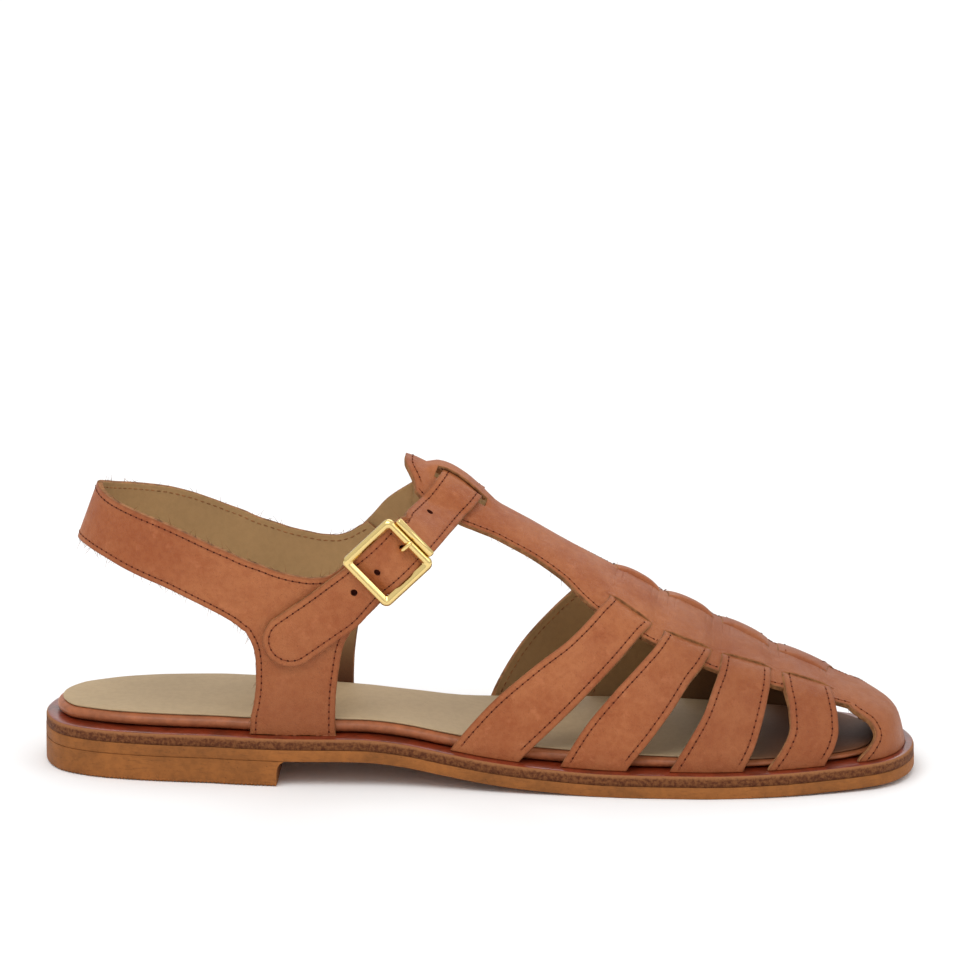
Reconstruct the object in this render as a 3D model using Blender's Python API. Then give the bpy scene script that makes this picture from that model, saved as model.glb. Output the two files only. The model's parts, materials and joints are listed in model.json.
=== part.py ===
"""Fisherman sandal, right shoe: woven strap upper on a flat leather sole.

Axes: X from heel to toe, Y towards the inner side of the foot, Z up.
The origin lies on the floor under the middle of the shoe.
Tables hold shares of the named sizes, one row for each section along the shoe.
"""
import math

import bmesh
import bpy
import numpy as np
from mathutils import Vector

# Driving sizes, in metres
LENGTH = 0.264              # outsole, back of the heel to toe tip
BALL_WIDTH = 0.0827         # outsole across the ball
HEEL_BLOCK_HEIGHT = 0.0075
OUTSOLE_THICKNESS = 0.0035
WELT_THICKNESS = 0.0034
TOE_SPRING = 0.0014
INSOLE_THICKNESS = 0.0035
SOCK_THICKNESS = 0.0006
WELT_SHOW = 0.0040          # welt that shows outside the straps
TOE_SHOW = 0.0028           # and in front of the toe cap
BACK_SHOW = 0.0035          # and behind the insole
WALL = 0.0018               # upper leather with its lining
INSTEP_HEIGHT = 0.0930      # top of the T-bar's end above the floor
COLLAR_HEIGHT = 0.0860      # top of the heel strap above the floor
ANKLE_WIDTH = 0.0584        # across the quarter, outside
NOSE_LENGTH = 0.0500        # heel strap's curve, back to side
STRAP_WIDTH = 0.0140        # ankle strap
STRAP_END_WIDTH = 0.0164    # its free end
STRAP_THICKNESS = 0.0016
LOOP_RAISE = 0.0028         # T-bar's bridge over the ankle strap
HOLE_DIAMETER = 0.0024
HOLE_PITCH = 0.0100
BUCKLE_LENGTH = 0.0204      # frame along the strap
BUCKLE_WIDTH = 0.0200       # and across it
BUCKLE_BAR = 0.0027         # width of the frame's sides
BUCKLE_THICKNESS = 0.0024
CENTRE_BAR = 0.0018
ROLLER_LENGTH = 0.0148
ROLLER_DIAMETER = 0.0022
PRONG_WIDTH = 0.0014
CLEARANCE = 0.0003          # between pieces that touch

# Outline of the sole: share of the length, then middle line and half width as shares of the ball width
OUTLINE = (
    # along, middle, half
    (0.0000, -0.024, 0.000),
    (0.0114, -0.027, 0.161),
    (0.0227, -0.023, 0.219),
    (0.0455, -0.017, 0.277),
    (0.0682, -0.012, 0.313),
    (0.0950, -0.008, 0.338),
    (0.1290, -0.005, 0.359),
    (0.1890, -0.005, 0.3755),
    (0.2310, -0.019, 0.380),
    (0.2765, -0.039, 0.3725),
    (0.3410, -0.0665, 0.342),
    (0.3980, -0.0785, 0.325),
    (0.4545, -0.070, 0.348),
    (0.5110, -0.043, 0.403),
    (0.5680, -0.018, 0.4485),
    (0.6250, -0.002, 0.480),
    (0.7010, 0.000, 0.4995),
    (0.7575, 0.000, 0.500),
    (0.8030, 0.001, 0.487),
    (0.8485, 0.001, 0.462),
    (0.8940, -0.005, 0.4135),
    (0.9390, -0.019, 0.346),
    (0.9620, -0.034, 0.2925),
    (0.9850, -0.047, 0.1995),
    (1.0000, -0.054, 0.000),
)

# Underside of the outsole: shares of the heel lift and of the toe spring
UNDERSIDE = (
    # along, heel lift, toe spring
    (0.000, 1.000, 0.00),
    (0.345, 1.000, 0.00),
    (0.375, 0.980, 0.00),
    (0.398, 0.910, 0.00),
    (0.428, 0.780, 0.00),
    (0.460, 0.590, 0.00),
    (0.485, 0.460, 0.00),
    (0.520, 0.300, 0.00),
    (0.553, 0.185, 0.00),
    (0.590, 0.095, 0.00),
    (0.622, 0.030, 0.00),
    (0.650, 0.000, 0.00),
    (0.790, 0.000, 0.00),
    (0.830, 0.000, 0.12),
    (0.870, 0.000, 0.28),
    (0.917, 0.000, 0.54),
    (1.000, 0.000, 1.00),
)
HEEL_BREAST = 0.274         # share of the length where the heel block ends
# The insole board gets thinner towards the toe: along, share of its thickness
INSOLE_TAPER = ((0.000, 1.00), (0.640, 1.00), (0.720, 0.84), (0.800, 0.58), (0.880, 0.46), (1.000, 0.46))
SOCK_INSET = 0.0019         # how far the sock stops inside the board's rim
# Rounded rims: inset from the piece's edge and share of its height, from below
INSOLE_RIM = ((0.0011, 0.0), (0.0002, 0.25), (0.0, 0.55), (0.0006, 0.86), (0.0016, 1.0))
WELT_RIM = ((0.0003, 0.0), (0.0003, 0.72), (0.0006, 0.92), (0.0013, 1.0))

# The last over the forefoot and instep. Crest height is a share of the instep height, the crest's
# side shift and the body's half widths are shares of the ball width, and the powers round the section
LAST = (
    # along, crest, shift, outer body, inner body, outer power, inner power
    (0.395, 1.020, 0.072, 0.395, 0.290, 2.0, 2.4),
    (0.4205, 1.000, 0.075, 0.410, 0.297, 2.0, 2.4),
    (0.443, 0.968, 0.078, 0.426, 0.302, 2.0, 2.4),
    (0.466, 0.934, 0.080, 0.437, 0.308, 2.0, 2.4),
    (0.4885, 0.8925, 0.082, 0.447, 0.314, 2.0, 2.4),
    (0.511, 0.854, 0.084, 0.458, 0.320, 2.0, 2.4),
    (0.534, 0.817, 0.085, 0.470, 0.328, 2.0, 2.4),
    (0.557, 0.782, 0.085, 0.480, 0.336, 2.0, 2.35),
    (0.580, 0.744, 0.085, 0.490, 0.345, 2.0, 2.3),
    (0.602, 0.709, 0.085, 0.501, 0.354, 2.0, 2.25),
    (0.625, 0.675, 0.085, 0.517, 0.363, 2.0, 2.15),
    (0.670, 0.609, 0.081, 0.525, 0.370, 2.0, 2.05),
    (0.716, 0.542, 0.074, 0.522, 0.376, 2.0, 2.0),
    (0.7615, 0.483, 0.063, 0.507, 0.382, 2.0, 2.0),
    (0.807, 0.424, 0.050, 0.470, 0.380, 2.0, 2.0),
    (0.852, 0.368, 0.025, 0.420, 0.360, 2.05, 2.05),
    (0.898, 0.317, 0.000, 0.340, 0.310, 2.1, 2.1),
    (0.920, 0.2935, -0.010, 0.300, 0.280, 2.15, 2.15),
    (0.943, 0.266, -0.025, 0.240, 0.240, 2.2, 2.2),
    (0.958, 0.244, -0.035, 0.200, 0.200, 2.25, 2.25),
    (0.970, 0.2225, -0.042, 0.150, 0.150, 2.3, 2.3),
    (0.9773, 0.202, -0.046, 0.110, 0.110, 2.3, 2.3),
    (0.9848, 0.165, -0.050, 0.060, 0.060, 2.3, 2.3),
    (0.9885, 0.122, -0.053, 0.020, 0.020, 2.3, 2.3),
)

# The spine and T-bar: turns round the last, from -1 at the outer welt over 0 at the crest to 1
SPINE = (
    # along, outer edge, outer slot, inner slot, inner edge
    (0.412, -0.16, -0.070, 0.100, 0.26),
    (0.420, -0.22, -0.085, 0.115, 0.33),
    (0.432, -0.265, -0.100, 0.120, 0.375),
    (0.450, -0.300, -0.105, 0.120, 0.410),
    (0.475, -0.297, -0.105, 0.120, 0.420),
    (0.500, -0.278, -0.105, 0.115, 0.380),
    (0.525, -0.262, -0.105, 0.100, 0.300),
    (0.560, -0.265, -0.120, 0.080, 0.245),
    (0.595, -0.290, -0.170, 0.050, 0.200),
    (0.620, -0.345, -0.215, 0.020, 0.170),
    (0.640, -0.380, -0.245, 0.005, 0.155),
    (0.665, -0.400, -0.280, 0.000, 0.150),
    (0.700, -0.415, -0.315, 0.000, 0.150),
    (0.730, -0.430, -0.330, 0.000, 0.150),
    (0.777, -0.440, -0.320, -0.020, 0.150),
    (0.835, -0.410, -0.280, -0.040, 0.140),
    (0.900, -0.395, -0.250, -0.030, 0.150),
    (1.000, -0.395, -0.250, -0.030, 0.150),
)

# Where the upper's cross lines run, as shares of the length, at twelve places round the last
STRAP_LINES = {
    # outer base, then rising: three on the outer side, edge, slot, slot, edge, three more, inner base
    "strap 1 rear": (0.4715, 0.517, 0.566, 0.608, 0.638, 0.6515, 0.657, 0.6515, 0.606, 0.5775, 0.5415,
                     0.504),
    "strap 1 front": (0.551, 0.5985, 0.6365, 0.6665, 0.6875, 0.699, 0.7045, 0.701, 0.6665, 0.640, 0.608,
                      0.572),
    "strap 2 rear": (0.5985, 0.627, 0.659, 0.6875, 0.7065, 0.714, 0.716, 0.711, 0.6845, 0.660, 0.633,
                     0.6105),
    "strap 2 front": (0.674, 0.7045, 0.728, 0.746, 0.7595, 0.767, 0.767, 0.760, 0.737, 0.717, 0.697, 0.6745),
    "strap 3 rear": (0.7235, 0.7445, 0.7615, 0.7715, 0.7775, 0.780, 0.7785, 0.7745, 0.762, 0.7475, 0.732,
                     0.7155),
    "strap 3 front": (0.807, 0.820, 0.8275, 0.8325, 0.835, 0.835, 0.8315, 0.8290, 0.8215, 0.8120, 0.8030,
                      0.7925),
    "strap 4 rear": (0.835, 0.852, 0.860, 0.858, 0.852, 0.8485, 0.843, 0.841, 0.842, 0.8365, 0.8265, 0.8120),
    "strap 4 front": (0.8995, 0.9105, 0.9145, 0.913, 0.908, 0.9035, 0.898, 0.9005, 0.908, 0.9070, 0.9030,
                      0.8940),
    "cap rear": (0.9375, 0.9515, 0.957, 0.9515, 0.926, 0.9205, 0.9185, 0.9225, 0.951, 0.956, 0.951, 0.9355),
}
SIDE_TURNS = (-1.0, -0.85, -0.70, -0.55, 0.55, 0.70, 0.85, 1.0)
T_BAR_LINES = (0.413, 0.4185, 0.430, 0.4395, 0.4480, 0.462, 0.477, 0.492, 0.506, 0.515,
               0.537, 0.564, 0.591, 0.614)
LOOP_SPAN = (0.4470, 0.5070)    # share of the length that the T-bar's slots take
# How the bridge between them arches, as a share of its raise
LOOP_ARCH = ((0.4430, 0.30), (0.4480, 0.85), (0.4620, 1.0), (0.4770, 0.97), (0.4920, 0.75), (0.5070, 0.35))
LOOP_GAP = 0.0005               # between the bridge and the strap
STEP = 0.0009                   # run of the soft step beside a raised strap
WEAVE_RAISE = 0.0016            # what a woven strip stands proud of its neighbours
STRAP_RAISE = (1.0, 1.0, 0.85, 0.75)    # share of it at each strap, heel to toe
GROOVE_SHARE = 0.30             # what is left of it in the line where a strap dives
BRIDGE_SWELL = (0.30, 0.82, 1.0, 0.82, 0.30)   # how the spine swells over a strap, rear to front

# The quarter's band from the back of the heel to the side: turn, lower edge and upper edge as shares of the
# collar height, and how much lower the upper edge runs on the inner side
HEEL_STRAP = (
    # turn, low, top, inner drop
    (0.00, 0.798, 1.000, 0.000),
    (0.10, 0.796, 0.994, 0.001),
    (0.20, 0.791, 0.983, 0.003),
    (0.30, 0.780, 0.971, 0.006),
    (0.40, 0.764, 0.959, 0.008),
    (0.50, 0.741, 0.945, 0.010),
    (0.60, 0.717, 0.929, 0.012),
    (0.70, 0.691, 0.907, 0.015),
    (0.80, 0.656, 0.879, 0.018),
    (0.90, 0.617, 0.849, 0.020),
)
# From there forward over the pillar to the tongue: low point and top point, as shares of the length and
# of the collar height, and the inner side's drop
FORWARD_LINES = (
    # low along, low up, top along, top up, inner drop
    (0.2270, 0.5730, 0.2270, 0.8230, 0.020),
    (0.2380, 0.5480, 0.2380, 0.8080, 0.020),
    (0.2600, 0.5350, 0.2560, 0.7890, 0.018),
    (0.2840, 0.5290, 0.2760, 0.7660, 0.015),
    (0.3090, 0.5290, 0.2950, 0.7520, 0.014),
    (0.3340, 0.5370, 0.3125, 0.7450, 0.017),
    (0.3590, 0.5530, 0.3275, 0.7480, 0.022),
    (0.3720, 0.5930, 0.3420, 0.7690, 0.032),
    (0.3860, 0.6370, 0.3530, 0.7990, 0.042),
    (0.4010, 0.6880, 0.3650, 0.8290, 0.052),
)
PILLAR_COLUMNS = (1, 6)         # first and last of those lines that the pillar hangs from
# The pillar below: height, rear edge, front edge
PILLAR = (
    (0.515, 0.2440, 0.3520),
    (0.480, 0.2480, 0.3485),
    (0.425, 0.2500, 0.3455),
    (0.370, 0.2500, 0.3430),
    (0.300, 0.2480, 0.3410),
    (0.225, 0.2435, 0.3405),
    (0.000, 0.2420, 0.3420),
)
INNER_PILLAR_SHIFT = 0.0100     # how much further forward the inner pillar stands, share of the length
HEEL_STRAP_BACK = 0.0375        # share of the length at the strap's lower edge
HEEL_STRAP_LEAN = 0.36          # forward for each metre up
NOSE_POWER = 1.7

# The ankle strap on the outer side: its free end, from the tip to the buckle, along and up
STRAP_END = ((0.2660, 0.4640), (0.2830, 0.5080), (0.3040, 0.5550), (0.3270, 0.6060), (0.3490, 0.6580))
STRAP_INNER_END = ((0.4070, 0.8030), (0.3870, 0.7360), (0.3690, 0.6800))
# Places over the T-bar, by its outer edge 0, its slots 1 and 2 and its inner edge 3, and how far the
# strap dives
T_BAR_CROSSING = ((-0.06, -0.15), (0.33, 0.0), (0.67, 0.0), (1.05, 0.0), (1.22, 1.0), (1.5, 1.0),
                  (1.78, 1.0),
                  (1.95, 0.0), (2.33, 0.0), (2.67, 0.0), (3.06, -0.15))
STRAP_CROSSING = 0.4785         # where the strap crosses the crest, share of the length
STRAP_SWEEP = 0.227             # how fast it runs back, share of the length for a turn squared
BUCKLE_SEAT = (0.3775, 0.7435)  # middle of the frame's rear side on the quarter, along and up
BUCKLE_SLOPE = math.radians(44.0)
SEAT_PROBES = (-1.25, -1.0, -0.6, -0.2)     # where the strap under the frame is kept clear, in half frames
PUNCHED = (-2, -1, 0, 1)        # the strap's holes, in pitches from the prong's


def smooth(table, column):
    """Curve through one column of a table that keeps its flats flat and adds no bumps."""
    along = np.array([row[0] for row in table], float)
    value = np.array([row[column] for row in table], float)
    gap = np.diff(along)
    rate = np.diff(value) / gap
    slope = np.zeros(len(along))
    slope[0], slope[-1] = rate[0], rate[-1]
    for k in range(1, len(along) - 1):
        if rate[k - 1] * rate[k] > 0:
            before, after = 2 * gap[k] + gap[k - 1], gap[k] + 2 * gap[k - 1]
            slope[k] = (before + after) / (before / rate[k - 1] + after / rate[k])

    def at(where):
        where = min(max(where, along[0]), along[-1])
        k = min(max(int(np.searchsorted(along, where)) - 1, 0), len(along) - 2)
        t = (where - along[k]) / gap[k]
        return float((1 + 2 * t) * (1 - t) ** 2 * value[k] + t * (1 - t) ** 2 * gap[k] * slope[k]
                     + t * t * (3 - 2 * t) * value[k + 1] + t * t * (t - 1) * gap[k] * slope[k + 1])

    return at


def round_key(share):
    """Angle for a share of the length, so that curves through it close round at both ends."""
    return math.acos(1 - 2 * min(max(share, 0.0), 1.0))


ROUND_OUTLINE = tuple((round_key(along), middle, half) for along, middle, half in OUTLINE)
outline_middle = smooth(ROUND_OUTLINE, 1)
outline_half = smooth(ROUND_OUTLINE, 2)
heel_lift = smooth(UNDERSIDE, 1)
toe_spring = smooth(UNDERSIDE, 2)
insole_taper = smooth(INSOLE_TAPER, 1)
crest_height, crest_shift, outer_body, inner_body, outer_power, inner_power = (
    smooth(LAST, k) for k in range(1, 7)
)
spine_turns = tuple(smooth(SPINE, k) for k in range(1, 5))


def along_of(share):
    return (share - 0.5) * LENGTH


def share_of(x):
    return x / LENGTH + 0.5


def outline_at(angle):
    """Point on the sole's edge: 0 at the heel, pi at the toe by the inner side, 2 pi back at the heel."""
    inner = angle <= math.pi
    key = angle if inner else 2 * math.pi - angle
    side = 1 if inner else -1
    middle, half = outline_middle(key), outline_half(key)
    return np.array([-LENGTH / 2 * math.cos(key), BALL_WIDTH * (middle + side * half)])


def inset_at(angle, inset):
    """Point that lies the inset inside the sole's edge."""
    step = 1e-3
    run = outline_at((angle + step) % (2 * math.pi)) - outline_at((angle - step) % (2 * math.pi))
    inward = np.array([run[1], -run[0]]) / np.hypot(*run)
    return outline_at(angle % (2 * math.pi)) + inward * inset


def underside(x):
    """Height of the outsole's underside."""
    share = share_of(x)
    return (HEEL_BLOCK_HEIGHT + CLEARANCE) * heel_lift(share) + TOE_SPRING * toe_spring(share)


def welt_bottom(x):
    return underside(x) + OUTSOLE_THICKNESS + CLEARANCE


def welt_top(x):
    return welt_bottom(x) + WELT_THICKNESS


def upper_foot(x):
    """Height at which the upper and the insole stand on the welt."""
    return welt_top(x) + CLEARANCE


def material(name, colour, roughness, metallic=0.0):
    made = bpy.data.materials.new(name)
    made.use_nodes = True
    shader = made.node_tree.nodes["Principled BSDF"]
    shader.inputs["Base Color"].default_value = (*colour, 1.0)
    shader.inputs["Roughness"].default_value = roughness
    shader.inputs["Metallic"].default_value = metallic
    return made


def add_object(name, points, faces, finish, sharp=40.0):
    """One closed body from points and faces, doubles merged and faces turned outwards."""
    mesh = bpy.data.meshes.new(name)
    mesh.from_pydata([tuple(p) for p in points], [], faces)
    work = bmesh.new()
    work.from_mesh(mesh)
    bmesh.ops.remove_doubles(work, verts=work.verts, dist=2e-5)
    loose = [v for v in work.verts if not v.link_faces]
    bmesh.ops.delete(work, geom=loose, context="VERTS")
    bmesh.ops.triangulate(work, faces=work.faces)
    bmesh.ops.recalc_face_normals(work, faces=work.faces)
    work.to_mesh(mesh)
    work.free()
    mesh.shade_smooth()
    mesh.set_sharp_from_angle(angle=math.radians(sharp))
    mesh.materials.append(finish)
    made = bpy.data.objects.new(name, mesh)
    bpy.context.scene.collection.objects.link(made)
    return made


def ring_faces(rings, count):
    """Quads between rings of points that each close on themselves."""
    faces = []
    for ring in range(rings - 1):
        for k in range(count):
            after = (k + 1) % count
            faces.append((ring * count + k, ring * count + after, (ring + 1) * count + after,
                          (ring + 1) * count + k))
    return faces


def cap_faces(start, count):
    """Quads across a ring, each joining its inner side to its outer side."""
    faces = [(start, start + 1, start + count - 1)]
    half = count // 2
    for k in range(1, half - 1):
        faces.append((start + k, start + k + 1, start + count - k - 1, start + count - k))
    faces.append((start + half - 1, start + half, start + half + 1))
    return faces


def layer(name, angles, profile, bottom, top, finish):
    """A sole layer. Each profile row gives the inset from the sole's edge and the share of its height."""
    points = []
    for inset, level in profile:
        for angle in angles:
            x, y = inset_at(angle, inset(angle) if callable(inset) else inset)
            points.append((x, y, bottom(x) + (top(x) - bottom(x)) * level))
    count = len(angles)
    faces = ring_faces(len(profile), count)
    faces += cap_faces(0, count) + cap_faces((len(profile) - 1) * count, count)
    return add_object(name, points, faces, finish)


def sole_angles(count):
    """Angles round the sole, paired across it, with the forefoot's flat spot among them."""
    flat = [round_key(0.650), round_key(0.790)]
    side = sorted([math.pi * k / count for k in range(1, count)] + flat)
    return [0.0] + side + [math.pi] + [2 * math.pi - angle for angle in reversed(side)]


def toe_share(angle):
    return (1 - math.cos(angle)) / 2


def build_sole(finishes):
    angles = sole_angles(26)
    bevel = 0.0006
    layer("outsole", angles, ((bevel, 0.0), (0.0, 0.2), (0.0, 1.0)), underside,
          lambda x: underside(x) + OUTSOLE_THICKNESS, finishes["honey sole"])
    layer("welt", angles, WELT_RIM, welt_bottom, welt_top, finishes["red welt"])
    build_heel_block(finishes["honey sole"])


def build_heel_block(finish):
    """Block under the heel, its breast hollowed where it meets the sole."""
    steps = 13
    last_angle = round_key(HEEL_BREAST)
    side = [last_angle * k / steps for k in range(1, steps + 1)]
    angles = [0.0] + side + [2 * math.pi - angle for angle in reversed(side)]
    bevel, edge, flare = 0.0005, 0.0001, 0.0022
    profile = ((bevel, 0.0, 0.0), (edge, 0.08, 0.0), (edge, 0.55, 0.0), (edge, 0.82, 0.22), (edge, 1.0, 1.0))
    points = []
    for inset, level, forward in profile:
        for k, angle in enumerate(angles):
            x, y = inset_at(angle, inset)
            at_breast = k in (steps, steps + 1)
            points.append((x + flare * forward * at_breast, y, HEEL_BLOCK_HEIGHT * level))
    count = len(angles)
    faces = ring_faces(len(profile), count)
    for start in (0, (len(profile) - 1) * count):
        faces.append((start, start + 1, start + count - 1))
        for k in range(1, steps):
            faces.append((start + k, start + k + 1, start + count - k - 1, start + count - k))
    add_object("heel_block", points, faces, finish)


def insole_inset(angle):
    """The board stands inside the straps' wall, and closer to the edge behind the heel."""
    side = WELT_SHOW + WALL + 2 * CLEARANCE
    lean = 0.0013
    share = toe_share(angle)
    behind = (1 - min(share / 0.06, 1.0)) ** 2
    ahead = min(max((share - 0.45) / 0.15, 0.0), 1.0)
    tip = min(max((share - 0.93) / 0.07, 0.0), 1.0)
    return side - (side - BACK_SHOW) * behind + lean * ahead + 2 * lean * tip


def build_insole(finishes):
    angles = sole_angles(26)

    def at(extra):
        return lambda angle: insole_inset(angle) + extra

    def board_top(x):
        return upper_foot(x) + INSOLE_THICKNESS * insole_taper(share_of(x))

    rim = tuple((at(inset), level) for inset, level in INSOLE_RIM)
    layer("insole", angles, rim, upper_foot, board_top, finishes["tan leather"])
    layer("sock", angles, ((at(SOCK_INSET), 0.0), (at(SOCK_INSET), 1.0)), lambda x: board_top(x) + CLEARANCE,
          lambda x: board_top(x) + CLEARANCE + SOCK_THICKNESS, finishes["beige sock"])


def base_lines():
    """Outer and inner feet of the upper as curves of x, set in from the sole's edge."""
    def show(angle):
        return WELT_SHOW + (TOE_SHOW - WELT_SHOW) * toe_share(angle) ** 12

    angles = [math.pi * k / 400 for k in range(120, 401)]
    inner = np.array([inset_at(angle, show(angle)) for angle in angles])
    outer = np.array([inset_at(2 * math.pi - angle, show(angle)) for angle in angles])
    return outer, inner


OUTER_FOOT, INNER_FOOT = base_lines()
TIP = float(INNER_FOOT[-1][0])
TIP_MIDDLE = float(INNER_FOOT[-1][1])


def last_point(x, turn):
    """Outside of the upper's wall where nothing is raised: turn runs from -1 at the outer foot to 1."""
    share = share_of(x)
    nearness = min(max((TIP - x) / (0.0115 * LENGTH), 0.0), 1.0)
    closing = math.sqrt(nearness * (2 - nearness))
    foot = upper_foot(x)
    crest_y = BALL_WIDTH * crest_shift(share)
    crest_y = TIP_MIDDLE + (crest_y - TIP_MIDDLE) * closing
    rise = max(INSTEP_HEIGHT * crest_height(share) - foot, 0.0) * closing
    outer = turn < 0
    feet = OUTER_FOOT if outer else INNER_FOOT
    reach = abs(float(np.interp(x, feet[:, 0], feet[:, 1])) - crest_y)
    body = BALL_WIDTH * (outer_body(share) if outer else inner_body(share))
    ahead = min(max((share - 0.60) / 0.06, 0.0), 1.0)
    body += (reach - body) * ahead
    power = 2 / (outer_power(share) if outer else inner_power(share))
    angle = abs(turn) * math.pi / 2
    across = body * math.sin(angle) ** power + (reach - body) * math.sin(angle) ** 8
    up = rise * max(math.cos(angle), 0.0) ** power
    return np.array([x, crest_y + (-across if outer else across), foot + up])


def normal_of(surface, u, v, du, dv):
    """Outward normal of a surface, by small steps; the order of u and v makes it point out."""
    run_u = surface(u + du, v) - surface(u - du, v)
    run_v = surface(u, v + dv) - surface(u, v - dv)
    normal = np.cross(run_u, run_v)
    return normal / np.linalg.norm(normal)


def last_normal(x, turn):
    x = min(x, TIP - 0.0006)
    turn = min(max(turn, -0.985), 0.985)
    return normal_of(last_point, x, turn, 0.0003, 0.01)


def shell(name, outside, inside, present, finish):
    """Closed wall from two matching grids of points; cells that aren't present are openings."""
    rows, columns = len(outside), len(outside[0])
    points = [p for row in outside for p in row] + [p for row in inside for p in row]
    offset = rows * columns

    def filled(i, j):
        return 0 <= i < rows - 1 and 0 <= j < columns - 1 and present[i][j]

    faces = []
    for i in range(rows - 1):
        for j in range(columns - 1):
            if not present[i][j]:
                continue
            a, b = i * columns + j, i * columns + j + 1
            c, d = (i + 1) * columns + j + 1, (i + 1) * columns + j
            faces.append((a, b, c, d))
            faces.append((offset + d, offset + c, offset + b, offset + a))
            if not filled(i - 1, j):
                faces.append((b, a, offset + a, offset + b))
            if not filled(i + 1, j):
                faces.append((d, c, offset + c, offset + d))
            if not filled(i, j - 1):
                faces.append((a, d, offset + d, offset + a))
            if not filled(i, j + 1):
                faces.append((c, b, offset + b, offset + c))
    return add_object(name, points, faces, finish)


# Columns of the upper's grid, counted along its twelve places, with the share of the weave's raise there
UPPER_COLUMNS = (
    (0.0, 0), (0.5, 0), (1.0, 0), (1.5, 0), (2.0, 0), (2.5, 0.10), (3.0, 0.30), (3.5, 0.65),
    (4.0, 1), (4.33, 1), (4.67, 1), (4.93, 0.95), (5.0, GROOVE_SHARE), (5.05, 0.9), (5.25, 1), (5.5, 1),
    (5.75, 1), (5.95, 0.9), (6.0, GROOVE_SHARE), (6.07, 0.95), (6.33, 1), (6.67, 1), (7.0, 1),
    (7.5, 0.65), (8.0, 0.30), (8.5, 0.10), (9.0, 0), (9.5, 0), (10.0, 0), (10.5, 0), (11.0, 0),
)
OUTER_EDGE, OUTER_SLOT, OUTER_BRIDGE, INNER_BRIDGE, INNER_SLOT, INNER_EDGE = 4.0, 5.0, 5.25, 5.75, 6.0, 7.0
PLACES = tuple(range(12))


loop_arch = smooth(LOOP_ARCH, 1)


def line_on_last(shares, column):
    """Place of one grid point: its x, and its turn from the spine's own table."""
    share = float(np.interp(column, PLACES, shares))
    edges = [turn(float(np.interp(4 + k, PLACES, shares))) for k, turn in enumerate(spine_turns)]
    turns = list(SIDE_TURNS[:4]) + edges + list(SIDE_TURNS[4:])
    return along_of(share), float(np.interp(column, PLACES, turns))


def upper_lines():
    """Cross lines from the T-bar's end to the toe: kind, x shift, shares of the length, raise, swell."""
    lines = [("t-bar", 0.0, tuple([share] * 12), 0.0, 0.0) for share in T_BAR_LINES]
    end_curve = (0, 0, 0, 0, 0.0150, 0.0015, 0.0, 0.0120, 0, 0, 0, 0)
    for k, fade in ((0, 1.0), (1, 0.7)):
        lines[k] = ("t-bar", 0.0, tuple(s + fade * bow for s, bow in zip(lines[k][2], end_curve)), 0.0, 0.0)
    for number in range(1, 5):
        rear = STRAP_LINES[f"strap {number} rear"]
        front = STRAP_LINES[f"strap {number} front"]
        lines.append(("web", -STEP, rear, 0.0, 0.0))
        for k, swell in enumerate(BRIDGE_SWELL):
            part = k / (len(BRIDGE_SWELL) - 1)
            shares = tuple(a + (b - a) * part for a, b in zip(rear, front))
            lines.append(("strap end" if part == 1.0 else "strap", 0.0, shares, STRAP_RAISE[number - 1],
                          swell))
        lines.append(("web", STEP, front, 0.0, 0.0))
    cap = STRAP_LINES["cap rear"]
    lines.append(("cap", 0.0, cap, 0.0, 0.0))
    tip = share_of(TIP)
    for part in (0.25, 0.5, 0.7, 0.85, 0.94, 0.985, 1.0):
        lines.append(("cap", 0.0, tuple(s + (tip - s) * part for s in cap), 0.0, 0.0))
    return lines


def build_upper(finish):
    lines = upper_lines()
    low, high = LOOP_SPAN
    outside, inside = [], []
    for kind, shift, shares, strap_raise, swell in lines:
        row_out, row_in = [], []
        for column, weave in UPPER_COLUMNS:
            x, turn = line_on_last(shares, column)
            x = min(x + shift, TIP)
            base, normal = last_point(x, turn), last_normal(x, turn)
            in_bridge = OUTER_BRIDGE <= column <= INNER_BRIDGE
            raised = WEAVE_RAISE * weave * strap_raise * (swell if OUTER_SLOT < column < INNER_SLOT else 1.0)
            sunk = WALL
            if kind == "t-bar" and in_bridge and low <= share_of(x) <= high:
                raised = LOOP_RAISE * loop_arch(share_of(x))
                sunk = WALL - raised
            row_out.append(base + normal * raised)
            if abs(turn) > 0.985:
                normal = np.array([normal[0], normal[1], 0.0]) / np.hypot(normal[0], normal[1])
            under = base - normal * sunk
            at_foot = abs(turn) > 0.985 or under[2] < upper_foot(under[0])
            row_in.append(np.array([under[0], under[1], upper_foot(under[0])]) if at_foot else under)
        outside.append(row_out)
        inside.append(row_in)
    present = []
    columns = [column for column, _ in UPPER_COLUMNS]
    for i in range(len(lines) - 1):
        kind, _, shares = lines[i][:3]
        next_kind = lines[i + 1][0]
        row = []
        for j in range(len(columns) - 1):
            a, b = columns[j], columns[j + 1]
            spine = a >= OUTER_EDGE and b <= INNER_EDGE
            full = (kind == "strap" and next_kind in ("strap",
                                                      "strap end")) or (kind == "cap" and next_kind == "cap")
            here = spine or full
            slots = (OUTER_SLOT <= a and b <= OUTER_BRIDGE) or (INNER_BRIDGE <= a and b <= INNER_SLOT)
            in_loop = kind == next_kind == "t-bar" and shares[5] >= low and lines[i + 1][2][5] <= high
            if slots and in_loop:
                here = False
            row.append(here)
        present.append(row)
    return shell("upper", outside, inside, present, finish)


SIDE_START = HEEL_STRAP_BACK * LENGTH + NOSE_LENGTH - LENGTH / 2
STRAP_BACK_HEIGHT = HEEL_STRAP[0][1] * COLLAR_HEIGHT


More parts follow.
